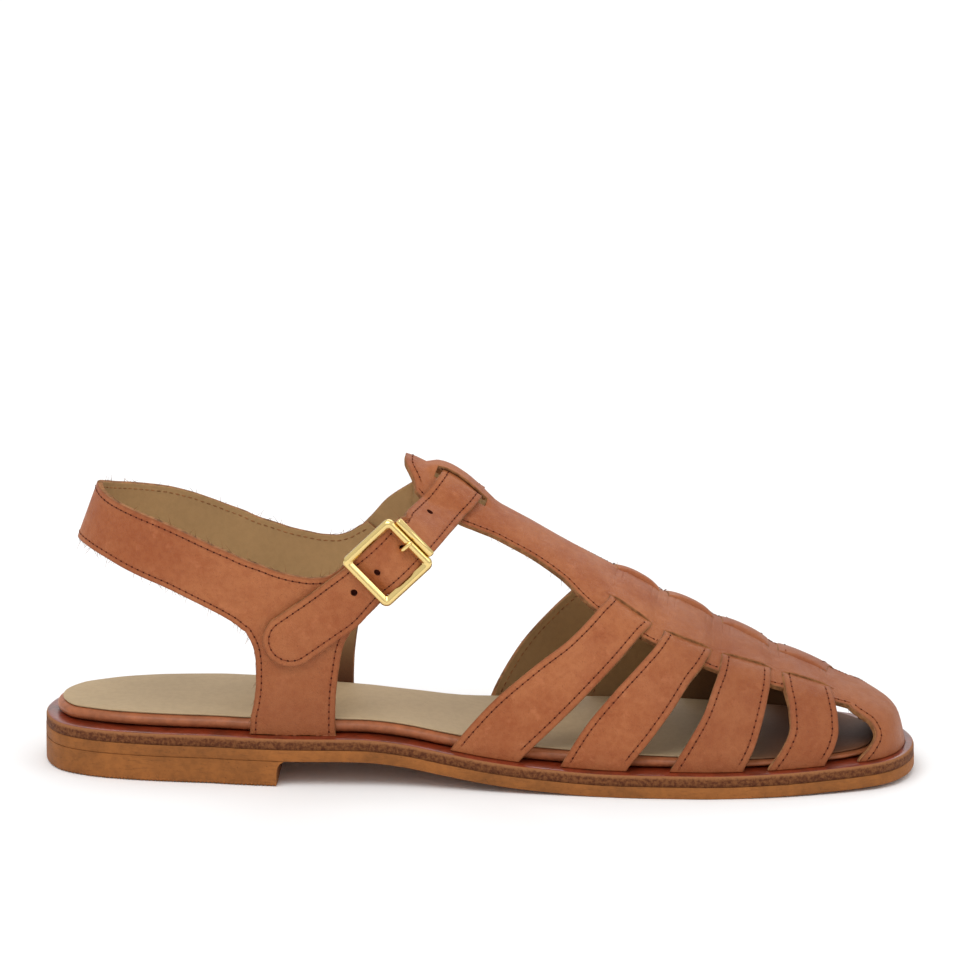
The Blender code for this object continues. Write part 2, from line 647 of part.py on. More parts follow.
def rear_point(turn, z):
    """Outside of the quarter: turn 0 at the back, 1 or -1 where the sides begin, then on forward."""
    side = -1 if turn < 0 else 1
    angle = min(abs(turn), 1.0) * math.pi / 2
    lean = HEEL_STRAP_LEAN * (z - STRAP_BACK_HEIGHT)
    power = 2 / NOSE_POWER
    x = SIDE_START - NOSE_LENGTH * max(math.cos(angle), 0.0) ** power + lean * math.cos(angle)
    x += max(abs(turn) - 1.0, 0.0) * NOSE_LENGTH
    low_x = min(max(x, along_of(0.23)), along_of(0.41))
    feet = [inset_at(key, WELT_SHOW)[1] for key in (round_key(share_of(low_x)),)]
    if side < 0:
        feet = [inset_at(2 * math.pi - round_key(share_of(low_x)), WELT_SHOW)[1]]
    middle = -0.006 * BALL_WIDTH
    foot_z = welt_top(low_x)
    rise = min(max((z - foot_z) / (0.76 * COLLAR_HEIGHT - foot_z), 0.0), 1.0)
    rise = rise * rise * (3 - 2 * rise)
    low = abs(feet[0] - middle)
    half = low + (ANKLE_WIDTH / 2 - low) * rise
    return np.array([x, middle + side * half * math.sin(angle) ** power, z])


def rear_normal(turn, z):
    turn = turn if abs(turn) > 1e-6 else 1e-6
    normal = normal_of(rear_point, turn, z, 0.012, 0.0004)
    outward = rear_point(turn, z) - np.array([along_of(0.25), 0.0, z])
    return normal if float(np.dot(normal, outward)) > 0 else -normal


def side_turn(x):
    return 1.0 + (x - SIDE_START) / NOSE_LENGTH


def side_point(side, along, up):
    """Point on the quarter's side from shares of the length and of the collar height."""
    return rear_point(side * side_turn(along_of(along)), up * COLLAR_HEIGHT)


def build_quarter(finish):
    """Heel strap, pillars and tongues as one wall: a band between the tongues, the pillars below it."""
    band = []
    rows = (0.0, 0.33, 0.67, 1.0)
    for side in (-1, 1):
        half = []
        for turn, low, top, drop in HEEL_STRAP:
            half.append((side * turn, low * COLLAR_HEIGHT, side * turn,
                         (top - drop * (side > 0)) * COLLAR_HEIGHT))
        for low_along, low_up, top_along, top_up, drop in FORWARD_LINES:
            half.append((side * side_turn(along_of(low_along)), low_up * COLLAR_HEIGHT,
                         side * side_turn(along_of(top_along)),
                         (top_up - drop * (side > 0)) * COLLAR_HEIGHT))
        band = [tuple(column) for column in reversed(half)] if side < 0 else band[:-1] + half
    count = len(band)
    pillar_rows = len(PILLAR)
    first, last = (len(HEEL_STRAP) + k for k in PILLAR_COLUMNS)
    middle = len(HEEL_STRAP) + len(FORWARD_LINES) - 1
    spans = ((middle - last, middle - first), (middle + first, middle + last))
    grid = []
    for row in range(pillar_rows):
        height, rear, front = PILLAR[pillar_rows - 1 - row]
        line = [None] * count
        for start, end in spans:
            for k in range(start, end + 1):
                part = (k - start) / (end - start)
                outer = start < middle
                share = front + (rear - front) * part
                if not outer:
                    share = rear + (front - rear) * part + INNER_PILLAR_SHIFT
                x = along_of(share)
                z = max(height * COLLAR_HEIGHT, upper_foot(x))
                line[k] = ((-1 if outer else 1) * side_turn(x), z)
        grid.append(line)
    for part in rows:
        grid.append([(lt + (tt - lt) * part, lz + (tz - lz) * part) for lt, lz, tt, tz in band])
    outside, inside = [], []
    nothing = np.zeros(3)
    for line in grid:
        out_row, in_row = [], []
        for place in line:
            if place is None:
                out_row.append(nothing)
                in_row.append(nothing)
                continue
            turn, z = place
            base, normal = rear_point(turn, z), rear_normal(turn, z)
            level = z <= upper_foot(base[0]) + 1e-6
            if level:
                normal = np.array([normal[0], normal[1], 0.0]) / np.hypot(normal[0], normal[1])
            out_row.append(base)
            in_row.append(base - normal * WALL)
        outside.append(out_row)
        inside.append(in_row)
    present = []
    for i in range(len(grid) - 1):
        present.append([
            i >= pillar_rows or any(start <= j < end for start, end in spans)
            for j in range(count - 1)
        ])
    return shell("quarter", outside, inside, present, finish)


def buckle_frame_axes():
    """Middle of the frame, with its directions along the strap, across it and outwards."""
    along, up = BUCKLE_SEAT
    turn = -side_turn(along_of(along))
    out = rear_normal(turn, up * COLLAR_HEIGHT)
    run = np.array([math.cos(BUCKLE_SLOPE), 0.0, math.sin(BUCKLE_SLOPE)])
    run = run - out * float(np.dot(run, out))
    run = run / np.linalg.norm(run)
    across = np.cross(run, out)
    across = across if across[2] < 0 else -across
    height = 2 * CLEARANCE + STRAP_THICKNESS + BUCKLE_THICKNESS / 2
    reach = (BUCKLE_LENGTH - BUCKLE_BAR) / 2
    middle = side_point(-1, along, up) + out * height + run * reach
    lack = 0.0
    for place in SEAT_PROBES:
        for part in (-0.5, -0.25, 0.0, 0.25, 0.5):
            spot = middle + run * reach * place + across * STRAP_WIDTH * part
            spot = spot + out * strap_level(reach * place)
            lack = max(lack, spot[1] - clear_of_quarter(spot, -1)[1])
    return middle + out * (lack + CLEARANCE / 3), run, across, out


def strap_level(u):
    """Height of the strap's middle over the frame's: under its two sides, over the centre bar."""
    under = -(BUCKLE_THICKNESS / 2 + CLEARANCE + STRAP_THICKNESS / 2)
    over = -BUCKLE_THICKNESS / 2 + CLEARANCE + STRAP_THICKNESS / 2
    part = min(abs(u) / (BUCKLE_LENGTH / 2 - BUCKLE_BAR - CLEARANCE), 1.0)
    return over + (under - over) * part * part * (3 - 2 * part)


def clear_of_quarter(spot, side):
    """Same place, moved sideways where the quarter is too near."""
    if share_of(spot[0]) > FORWARD_LINES[-1][0] + 0.02:
        return spot
    surface = rear_point(side * side_turn(spot[0]), spot[2])
    reach = abs(surface[1]) + (CLEARANCE + STRAP_THICKNESS / 2) * 1.04
    return np.array([spot[0], side * max(abs(spot[1]), reach), spot[2]])


def strap_rails():
    """Control lines of the ankle strap's middle surface: five points across, tip to inner end."""
    shares = (-1.0, -0.5, 0.0, 0.5, 1.0)
    lift = CLEARANCE + STRAP_THICKNESS / 2
    middle, along, across, out = buckle_frame_axes()
    lines = []
    end = [np.array([along_of(a), 0.0, up * COLLAR_HEIGHT]) for a, up in STRAP_END]
    for k, (share, up) in enumerate(STRAP_END):
        run = end[min(k + 1, len(end) - 1)] - end[max(k - 1, 0)]
        run = run / np.linalg.norm(run)
        wide = np.array([run[2], 0.0, -run[0]]) * STRAP_END_WIDTH / 2
        line = []
        for part in shares:
            flat = end[k] + wide * part
            turn = -side_turn(flat[0])
            line.append(rear_point(turn, flat[2]) + rear_normal(turn, flat[2]) * lift)
        lines.append(line)
    reach = BUCKLE_LENGTH / 2 - BUCKLE_BAR - CLEARANCE
    for place in (-1.6, -1.0, -0.67, -0.33, 0.0, 0.33, 0.67, 1.0, 1.6):
        spot = middle + along * place * reach + out * strap_level(place * reach)
        lines.append([spot + across * STRAP_WIDTH / 2 * part for part in shares])
    half_x = STRAP_WIDTH / 2 * 0.87
    crossing = along_of(STRAP_CROSSING)
    for place, level in T_BAR_CROSSING:
        line = []
        for part in shares:
            edges = [turn(STRAP_CROSSING + half_x * part / LENGTH) for turn in spine_turns]
            turn = float(np.interp(place, (0.0, 1.0, 2.0, 3.0), edges))
            x = crossing - STRAP_SWEEP * LENGTH * (turn - 0.02) ** 2 + half_x * part
            bridge = LOOP_RAISE * loop_arch(share_of(x)) - WALL - LOOP_GAP - STRAP_THICKNESS / 2
            line.append(last_point(x, turn) + last_normal(x, turn) * (lift + (bridge - lift) * level))
        lines.append(line)
    run = np.array([math.sin(BUCKLE_SLOPE), 0.0, -math.cos(BUCKLE_SLOPE)])
    for share, up in STRAP_INNER_END:
        flat = np.array([along_of(share), 0.0, up * COLLAR_HEIGHT])
        line = []
        for part in shares:
            spot = flat + run * STRAP_WIDTH / 2 * part
            turn = side_turn(spot[0])
            line.append(rear_point(turn, spot[2]) + rear_normal(turn, spot[2]) * lift)
        lines.append(line)
    return np.array(lines)


def spline_lines(lines, steps):
    """Smooth curve through matching points of a list of lines, by chord-length Catmull-Rom."""
    middle = lines[:, lines.shape[1] // 2]
    chord = np.concatenate([[0.0], np.cumsum(np.sqrt(np.linalg.norm(np.diff(middle, axis=0), axis=1)))])
    count = len(lines)
    slope = np.zeros_like(lines)
    for k in range(count):
        before, after = max(k - 1, 0), min(k + 1, count - 1)
        slope[k] = (lines[after] - lines[before]) / (chord[after] - chord[before])
    out = []
    for k in range(count - 1):
        gap = chord[k + 1] - chord[k]
        for step in range(steps[k]):
            t = step / steps[k]
            out.append((1 + 2 * t) * (1 - t) ** 2 * lines[k] + t * (1 - t) ** 2 * gap * slope[k]
                       + t * t * (3 - 2 * t) * lines[k + 1] + t * t * (t - 1) * gap * slope[k + 1])
    out.append(lines[-1])
    return np.array(out)


def round_tip(lines):
    """Pull the first lines in so that the strap's free end is round."""
    middle = lines[:, 2]
    run = np.concatenate([[0.0], np.cumsum(np.linalg.norm(np.diff(middle, axis=0), axis=1))])
    radius = STRAP_END_WIDTH / 2
    out = lines.copy()
    for k, travelled in enumerate(run):
        if travelled >= radius:
            break
        shrink = math.sqrt(max(1 - (1 - travelled / radius) ** 2, 0.0))
        out[k] = middle[k] + (lines[k] - middle[k]) * max(shrink, 0.25)
    return out


def strap_surface():
    control = strap_rails()
    steps = [5, 4, 3, 3, 2] + [1] * 8 + [5] + [1] * 10 + [4, 3, 3]
    surface = round_tip(spline_lines(control, steps))
    inner_start = sum(steps[:-3])
    for i, line in enumerate(surface):
        side = -1 if i < inner_start else 1
        for j, spot in enumerate(line):
            surface[i][j] = clear_of_quarter(spot, side)
    return surface


def build_ankle_strap(finish):
    surface = strap_surface()
    rows, columns = surface.shape[:2]
    normals = np.zeros_like(surface)
    for i in range(rows):
        for j in range(columns):
            run_u = surface[min(i + 1, rows - 1), j] - surface[max(i - 1, 0), j]
            run_v = surface[i, min(j + 1, columns - 1)] - surface[i, max(j - 1, 0)]
            normal = np.cross(run_v, run_u)
            normals[i, j] = normal / np.linalg.norm(normal)
    half = STRAP_THICKNESS / 2
    present = [[True] * (columns - 1) for _ in range(rows - 1)]
    strap = shell("ankle_strap", surface + normals * half, surface - normals * half, present, finish)
    for k, spot in enumerate(hole_spots()):
        cut_hole(strap, k, *spot)
    return strap


def hole_spots():
    """Middles and directions of the punched holes, one pitch apart along the strap from the prong's."""
    middle, along, across, out = buckle_frame_axes()
    spots = []
    prong_hole = prong_place()
    for step in PUNCHED:
        place = prong_hole + step * HOLE_PITCH
        spot = middle + along * place
        spots.append((spot, out))
    return spots


def prong_place():
    """Where the prong comes up through the strap, from the frame's middle."""
    return BUCKLE_LENGTH / 2 - BUCKLE_BAR - HOLE_DIAMETER / 2 - 0.0004


def cut_hole(target, number, spot, direction):
    work = bmesh.new()
    bmesh.ops.create_cone(work, cap_ends=True, segments=10, radius1=HOLE_DIAMETER / 2,
                          radius2=HOLE_DIAMETER / 2,
                          depth=0.016)
    mesh = bpy.data.meshes.new(f"hole_cutter_{number}")
    work.to_mesh(mesh)
    work.free()
    cutter = bpy.data.objects.new(f"hole_cutter_{number}", mesh)
    cutter.rotation_mode = "QUATERNION"
    cutter.rotation_quaternion = Vector(direction).to_track_quat("Z", "Y")
    cutter.location = Vector(spot)
    hide_tool(cutter)
    cut = target.modifiers.new(f"hole {number}", "BOOLEAN")
    cut.operation = "DIFFERENCE"
    cut.object = cutter


def hide_tool(tool):
    tool.hide_render = True
    tool.display_type = "WIRE"
    bpy.context.scene.collection.objects.link(tool)


def in_frame(u, v, w):
    """World point from places along the strap, across it and outwards, from the frame's middle."""
    middle, along, across, out = buckle_frame_axes()
    return middle + along * u + across * v + out * w


def rounded_rectangle(half_u, half_v, radius, steps):
    points = []
    corners = ((1, 1, 0.0), (-1, 1, 90.0), (-1, -1, 180.0), (1, -1, 270.0))
    for su, sv, start in corners:
        for k in range(steps + 1):
            angle = math.radians(start + 90.0 * k / steps)
            points.append((su * (half_u - radius) + radius * math.cos(angle),
                           sv * (half_v - radius) + radius * math.sin(angle)))
    return points


def build_buckle(finish):
    half_u, half_v = BUCKLE_LENGTH / 2, BUCKLE_WIDTH / 2
    low, high = -BUCKLE_THICKNESS / 2, BUCKLE_THICKNESS / 2
    bevel = 0.0007
    steps = 3
    corner = 0.0020
    inner_corner = 0.0004
    profile = (
        (0.0, low, corner), (0.0, high - bevel, corner), (bevel, high, corner),
        (BUCKLE_BAR - bevel, high, inner_corner), (BUCKLE_BAR, high - bevel, inner_corner),
        (BUCKLE_BAR, low, inner_corner),
    )
    points = []
    for inset, level, radius in profile:
        for u, v in rounded_rectangle(half_u - inset, half_v - inset, radius, steps):
            points.append(in_frame(u, v, level))
    count = 4 * (steps + 1)
    faces = ring_faces(len(profile), count)
    for k in range(count):
        after = (k + 1) % count
        faces.append(((len(profile) - 1) * count + k, (len(profile) - 1) * count + after, after, k))
    frame = add_object("buckle_frame", points, faces, finish)
    add_centre_bar(frame)
    build_roller(finish)
    build_prong(finish)


def add_centre_bar(frame):
    """The bar that the strap runs over, hung below the two rails, as one staple."""
    half = CENTRE_BAR / 2
    low = -BUCKLE_THICKNESS / 2 - CENTRE_BAR
    top = -BUCKLE_THICKNESS / 2
    wide = (BUCKLE_WIDTH - BUCKLE_BAR) / 2 + half
    bury = 0.0008
    outline = ((-wide, low), (wide, low), (wide, top + bury), (wide - CENTRE_BAR, top + bury),
               (wide - CENTRE_BAR, top), (CENTRE_BAR - wide, top), (CENTRE_BAR - wide, top + bury),
               (-wide, top + bury))
    count = len(outline)
    mesh = bpy.data.meshes.new("staple_tool")
    points = [tuple(in_frame(u, v, w)) for u in (-half, half) for v, w in outline]
    faces = ring_faces(2, count) + [tuple(range(count)), tuple(range(count, 2 * count))]
    mesh.from_pydata(points, [], faces)
    work = bmesh.new()
    work.from_mesh(mesh)
    bmesh.ops.recalc_face_normals(work, faces=work.faces)
    work.to_mesh(mesh)
    work.free()
    staple = bpy.data.objects.new("staple_tool", mesh)
    hide_tool(staple)
    join = frame.modifiers.new("centre bar", "BOOLEAN")
    join.operation = "UNION"
    join.object = staple


def build_roller(finish):
    """Round bar along the frame's front side."""
    sides, radius = 12, ROLLER_DIAMETER / 2
    u = BUCKLE_LENGTH / 2 + CLEARANCE + radius
    points = []
    for v in (-ROLLER_LENGTH / 2, ROLLER_LENGTH / 2):
        for k in range(sides):
            angle = 2 * math.pi * k / sides
            points.append(in_frame(u + radius * math.cos(angle), v, radius * math.sin(angle)))
    faces = ring_faces(2, sides) + [tuple(range(sides)), tuple(range(sides, 2 * sides))]
    add_object("buckle_roller", points, faces, finish)


def build_prong(finish):
    """From the centre bar under the strap, up through its hole and onto the frame's front side."""
    half = PRONG_WIDTH / 2
    place = prong_place()
    drop = STRAP_THICKNESS / 2 + CLEARANCE + half
    start = CENTRE_BAR / 2 + 2 * CLEARANCE
    top = BUCKLE_THICKNESS / 2 + CLEARANCE + half
    bend = 0.0008
    route = [(u, strap_level(u) - drop) for u in (start, start + (place - bend - start) / 2, place - bend)]
    route += [(place, strap_level(place) - drop + bend), (place, top - bend), (place + bend, top),
              (BUCKLE_LENGTH / 2, top)]
    sides = 8
    points = []
    for k, (u, w) in enumerate(route):
        before, after = route[max(k - 1, 0)], route[min(k + 1, len(route) - 1)]
        run = np.array([after[0] - before[0], after[1] - before[1]])
        run = run / np.hypot(*run)
        slim = 0.55 if k == len(route) - 1 else 0.85
        for s in range(sides):
            angle = 2 * math.pi * s / sides
            side, rise = half * math.cos(angle) * slim, half * math.sin(angle) * slim
            points.append(in_frame(u - run[1] * rise, side, w + run[0] * rise))
    faces = ring_faces(len(route), sides) + [tuple(range(sides)),
                                             tuple(range((len(route) - 1) * sides, len(route) * sides))]
    add_object("buckle_prong", points, faces, finish)


def build_materials():
    return {
        "honey sole": material("honey sole", (0.36, 0.15, 0.05), 0.55),
        "red welt": material("red welt", (0.22, 0.05, 0.02), 0.45),
        "tan leather": material("tan leather", (0.42, 0.15, 0.07), 0.5),
        "beige sock": material("beige sock", (0.52, 0.40, 0.25), 0.75),
        "gold": material("gold", (0.80, 0.60, 0.28), 0.25, 1.0),
    }


def main():
    for old in list(bpy.data.objects):
        bpy.data.objects.remove(old, do_unlink=True)
    finishes = build_materials()
    build_sole(finishes)
    build_insole(finishes)
    build_upper(finishes["tan leather"])
    build_quarter(finishes["tan leather"])
    build_ankle_strap(finishes["tan leather"])
    build_buckle(finishes["gold"])


main()
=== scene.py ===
"""Fisherman sandal, right shoe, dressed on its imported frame.

Axes and tables are those of the part's source: X from heel to toe, Y towards the inner side, Z up, metres.
Each piece follows the same tables as its solid, with finer steps, rounded edges, stitches and leather.
"""
import math
import json

import bmesh
import bpy
import numpy as np
from bpy.props import FloatProperty, FloatVectorProperty, IntProperty, PointerProperty
from mathutils import Matrix, Vector
from mathutils.bvhtree import BVHTree
from mathutils.kdtree import KDTree

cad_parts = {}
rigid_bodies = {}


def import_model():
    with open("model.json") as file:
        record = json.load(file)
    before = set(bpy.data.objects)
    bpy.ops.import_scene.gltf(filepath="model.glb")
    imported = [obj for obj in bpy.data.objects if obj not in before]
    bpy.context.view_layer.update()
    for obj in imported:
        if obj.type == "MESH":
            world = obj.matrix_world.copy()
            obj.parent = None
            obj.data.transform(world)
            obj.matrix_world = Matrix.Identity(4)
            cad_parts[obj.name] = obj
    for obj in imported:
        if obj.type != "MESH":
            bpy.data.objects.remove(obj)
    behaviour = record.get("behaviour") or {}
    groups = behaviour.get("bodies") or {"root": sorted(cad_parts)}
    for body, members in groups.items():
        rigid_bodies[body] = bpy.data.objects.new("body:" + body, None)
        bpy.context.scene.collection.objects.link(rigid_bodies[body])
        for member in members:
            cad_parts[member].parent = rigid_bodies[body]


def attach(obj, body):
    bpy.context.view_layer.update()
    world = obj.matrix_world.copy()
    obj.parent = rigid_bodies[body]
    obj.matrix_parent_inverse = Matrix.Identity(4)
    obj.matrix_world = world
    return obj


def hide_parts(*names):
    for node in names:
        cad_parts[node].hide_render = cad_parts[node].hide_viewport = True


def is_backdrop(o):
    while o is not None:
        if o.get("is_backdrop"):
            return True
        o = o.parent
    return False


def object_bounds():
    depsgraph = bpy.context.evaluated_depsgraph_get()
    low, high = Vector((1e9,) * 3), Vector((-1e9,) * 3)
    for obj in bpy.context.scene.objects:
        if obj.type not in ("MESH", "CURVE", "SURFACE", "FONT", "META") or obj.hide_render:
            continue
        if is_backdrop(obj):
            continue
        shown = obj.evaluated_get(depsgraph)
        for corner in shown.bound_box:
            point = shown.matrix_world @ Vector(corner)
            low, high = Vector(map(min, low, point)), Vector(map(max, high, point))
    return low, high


bl_info = {
    "name": "Fisherman Sandal",
    "version": (1, 0, 0),
    "blender": (4, 5, 0),
    "location": "View3D > Sidebar > Sandal",
    "description": "Builds a woven leather fisherman sandal with its stitches, buckle and stage",
    "category": "Object",
}

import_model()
CAD_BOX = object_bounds()

# Driving sizes, in metres
LENGTH = 0.264              # outsole, back of the heel to toe tip
BALL_WIDTH = 0.0827         # outsole across the ball
HEEL_BLOCK_HEIGHT = 0.0075
OUTSOLE_THICKNESS = 0.0035
WELT_THICKNESS = 0.0034
TOE_SPRING = 0.0014
INSOLE_THICKNESS = 0.0035
SOCK_THICKNESS = 0.0006
WELT_SHOW = 0.0040          # welt that shows outside the straps
TOE_SHOW = 0.0028           # and in front of the toe cap
BACK_SHOW = 0.0035          # and behind the insole
WALL = 0.0018               # upper leather with its lining
INSTEP_HEIGHT = 0.0930      # top of the T-bar's end above the floor
COLLAR_HEIGHT = 0.0860      # top of the heel strap above the floor
ANKLE_WIDTH = 0.0584        # across the quarter, outside
NOSE_LENGTH = 0.0500        # heel strap's curve, back to side
STRAP_WIDTH = 0.0140        # ankle strap
STRAP_END_WIDTH = 0.0164    # its free end
STRAP_THICKNESS = 0.0016
LOOP_RAISE = 0.0028         # T-bar's bridge over the ankle strap
HOLE_DIAMETER = 0.0024
HOLE_PITCH = 0.0100
BUCKLE_LENGTH = 0.0204      # frame along the strap
BUCKLE_WIDTH = 0.0200       # and across it
BUCKLE_BAR = 0.0027         # width of the frame's sides
BUCKLE_THICKNESS = 0.0024
CENTRE_BAR = 0.0018
ROLLER_LENGTH = 0.0148
ROLLER_DIAMETER = 0.0022
PRONG_WIDTH = 0.0014
CLEARANCE = 0.0003          # between pieces that touch

# Outline of the sole: share of the length, then middle line and half width as shares of the ball width
OUTLINE = (
    # along, middle, half
    (0.0000, -0.024, 0.000),
    (0.0114, -0.027, 0.161),
    (0.0227, -0.023, 0.219),
    (0.0455, -0.017, 0.277),
    (0.0682, -0.012, 0.313),
    (0.0950, -0.008, 0.338),
    (0.1290, -0.005, 0.359),
    (0.1890, -0.005, 0.3755),
    (0.2310, -0.019, 0.380),
    (0.2765, -0.039, 0.3725),
    (0.3410, -0.0665, 0.342),
    (0.3980, -0.0785, 0.325),
    (0.4545, -0.070, 0.348),
    (0.5110, -0.043, 0.403),
    (0.5680, -0.018, 0.4485),
    (0.6250, -0.002, 0.480),
    (0.7010, 0.000, 0.4995),
    (0.7575, 0.000, 0.500),
    (0.8030, 0.001, 0.487),
    (0.8485, 0.001, 0.462),
    (0.8940, -0.005, 0.4135),
    (0.9390, -0.019, 0.346),
    (0.9620, -0.034, 0.2925),
    (0.9850, -0.047, 0.1995),
    (1.0000, -0.054, 0.000),
)

# Underside of the outsole: shares of the heel lift and of the toe spring
UNDERSIDE = (
    # along, heel lift, toe spring
    (0.000, 1.000, 0.00),
    (0.345, 1.000, 0.00),
    (0.375, 0.980, 0.00),
    (0.398, 0.910, 0.00),
    (0.428, 0.780, 0.00),
    (0.460, 0.590, 0.00),
    (0.485, 0.460, 0.00),
    (0.520, 0.300, 0.00),
    (0.553, 0.185, 0.00),
    (0.590, 0.095, 0.00),
    (0.622, 0.030, 0.00),
    (0.650, 0.000, 0.00),
    (0.790, 0.000, 0.00),
    (0.830, 0.000, 0.12),
    (0.870, 0.000, 0.28),
    (0.917, 0.000, 0.54),
    (1.000, 0.000, 1.00),
)
HEEL_BREAST = 0.274         # share of the length where the heel block ends
# The insole board gets thinner towards the toe: along, share of its thickness
INSOLE_TAPER = ((0.000, 1.00), (0.640, 1.00), (0.720, 0.84), (0.800, 0.58), (0.880, 0.46), (1.000, 0.46))

# The last over the forefoot and instep. Crest height is a share of the instep height, the crest's
# side shift and the body's half widths are shares of the ball width, and the powers round the section
LAST = (
    # along, crest, shift, outer body, inner body, outer power, inner power
    (0.395, 1.020, 0.072, 0.395, 0.290, 2.0, 2.4),
    (0.4205, 1.000, 0.075, 0.410, 0.297, 2.0, 2.4),
    (0.443, 0.968, 0.078, 0.426, 0.302, 2.0, 2.4),
    (0.466, 0.934, 0.080, 0.437, 0.308, 2.0, 2.4),
    (0.4885, 0.8925, 0.082, 0.447, 0.314, 2.0, 2.4),
    (0.511, 0.854, 0.084, 0.458, 0.320, 2.0, 2.4),
    (0.534, 0.817, 0.085, 0.470, 0.328, 2.0, 2.4),
    (0.557, 0.782, 0.085, 0.480, 0.336, 2.0, 2.35),
    (0.580, 0.744, 0.085, 0.490, 0.345, 2.0, 2.3),
    (0.602, 0.709, 0.085, 0.501, 0.354, 2.0, 2.25),
    (0.625, 0.675, 0.085, 0.517, 0.363, 2.0, 2.15),
    (0.670, 0.609, 0.081, 0.525, 0.370, 2.0, 2.05),
    (0.716, 0.542, 0.074, 0.522, 0.376, 2.0, 2.0),
    (0.7615, 0.483, 0.063, 0.507, 0.382, 2.0, 2.0),
    (0.807, 0.424, 0.050, 0.470, 0.380, 2.0, 2.0),
    (0.852, 0.368, 0.025, 0.420, 0.360, 2.05, 2.05),
    (0.898, 0.317, 0.000, 0.340, 0.310, 2.1, 2.1),
    (0.920, 0.2935, -0.010, 0.300, 0.280, 2.15, 2.15),
    (0.943, 0.266, -0.025, 0.240, 0.240, 2.2, 2.2),
    (0.958, 0.244, -0.035, 0.200, 0.200, 2.25, 2.25),
    (0.970, 0.2225, -0.042, 0.150, 0.150, 2.3, 2.3),
    (0.9773, 0.202, -0.046, 0.110, 0.110, 2.3, 2.3),
    (0.9848, 0.165, -0.050, 0.060, 0.060, 2.3, 2.3),
    (0.9885, 0.122, -0.053, 0.020, 0.020, 2.3, 2.3),
)

# The spine and T-bar: turns round the last, from -1 at the outer welt over 0 at the crest to 1
SPINE = (
    # along, outer edge, outer slot, inner slot, inner edge
    (0.412, -0.16, -0.070, 0.100, 0.26),
    (0.420, -0.22, -0.085, 0.115, 0.33),
    (0.432, -0.265, -0.100, 0.120, 0.375),
    (0.450, -0.300, -0.105, 0.120, 0.410),
    (0.475, -0.297, -0.105, 0.120, 0.420),
    (0.500, -0.278, -0.105, 0.115, 0.380),
    (0.525, -0.262, -0.105, 0.100, 0.300),
    (0.560, -0.265, -0.120, 0.080, 0.245),
    (0.595, -0.290, -0.170, 0.050, 0.200),
    (0.620, -0.345, -0.215, 0.020, 0.170),
    (0.640, -0.380, -0.245, 0.005, 0.155),
    (0.665, -0.400, -0.280, 0.000, 0.150),
    (0.700, -0.415, -0.315, 0.000, 0.150),
    (0.730, -0.430, -0.330, 0.000, 0.150),
    (0.777, -0.440, -0.320, -0.020, 0.150),
    (0.835, -0.410, -0.280, -0.040, 0.140),
    (0.900, -0.395, -0.250, -0.030, 0.150),
    (1.000, -0.395, -0.250, -0.030, 0.150),
)

# Where the upper's cross lines run, as shares of the length, at twelve places round the last
STRAP_LINES = {
    # outer base, then rising: three on the outer side, edge, slot, slot, edge, three more, inner base
    "strap 1 rear": (0.4715, 0.517, 0.566, 0.608, 0.638, 0.6515, 0.657, 0.6515, 0.606, 0.5775, 0.5415,
                     0.504),
    "strap 1 front": (0.551, 0.5985, 0.6365, 0.6665, 0.6875, 0.699, 0.7045, 0.701, 0.6665, 0.640, 0.608,
                      0.572),
    "strap 2 rear": (0.5985, 0.627, 0.659, 0.6875, 0.7065, 0.714, 0.716, 0.711, 0.6845, 0.660, 0.633,
                     0.6105),
    "strap 2 front": (0.674, 0.7045, 0.728, 0.746, 0.7595, 0.767, 0.767, 0.760, 0.737, 0.717, 0.697, 0.6745),
    "strap 3 rear": (0.7235, 0.7445, 0.7615, 0.7715, 0.7775, 0.780, 0.7785, 0.7745, 0.762, 0.7475, 0.732,
                     0.7155),
    "strap 3 front": (0.807, 0.820, 0.8275, 0.8325, 0.835, 0.835, 0.8315, 0.8290, 0.8215, 0.8120, 0.8030,
                      0.7925),
    "strap 4 rear": (0.835, 0.852, 0.860, 0.858, 0.852, 0.8485, 0.843, 0.841, 0.842, 0.8365, 0.8265, 0.8120),
    "strap 4 front": (0.8995, 0.9105, 0.9145, 0.913, 0.908, 0.9035, 0.898, 0.9005, 0.908, 0.9070, 0.9030,
                      0.8940),
    "cap rear": (0.9375, 0.9515, 0.957, 0.9515, 0.926, 0.9205, 0.9185, 0.9225, 0.951, 0.956, 0.951, 0.9355),
}
SIDE_TURNS = (-1.0, -0.85, -0.70, -0.55, 0.55, 0.70, 0.85, 1.0)
T_BAR_LINES = (0.413, 0.4185, 0.430, 0.4395, 0.4480, 0.462, 0.477, 0.492, 0.506, 0.515,
               0.537, 0.564, 0.591, 0.614)
LOOP_SPAN = (0.4470, 0.5070)    # share of the length that the T-bar's slots take
# How the bridge between them arches, as a share of its raise
LOOP_ARCH = ((0.4430, 0.30), (0.4480, 0.85), (0.4620, 1.0), (0.4770, 0.97), (0.4920, 0.75), (0.5070, 0.35))
LOOP_GAP = 0.0005               # between the bridge and the strap
WEAVE_RAISE = 0.0016            # what a woven strip stands proud of its neighbours
STRAP_RAISE = (1.0, 1.0, 0.85, 0.75)    # share of it at each strap, heel to toe

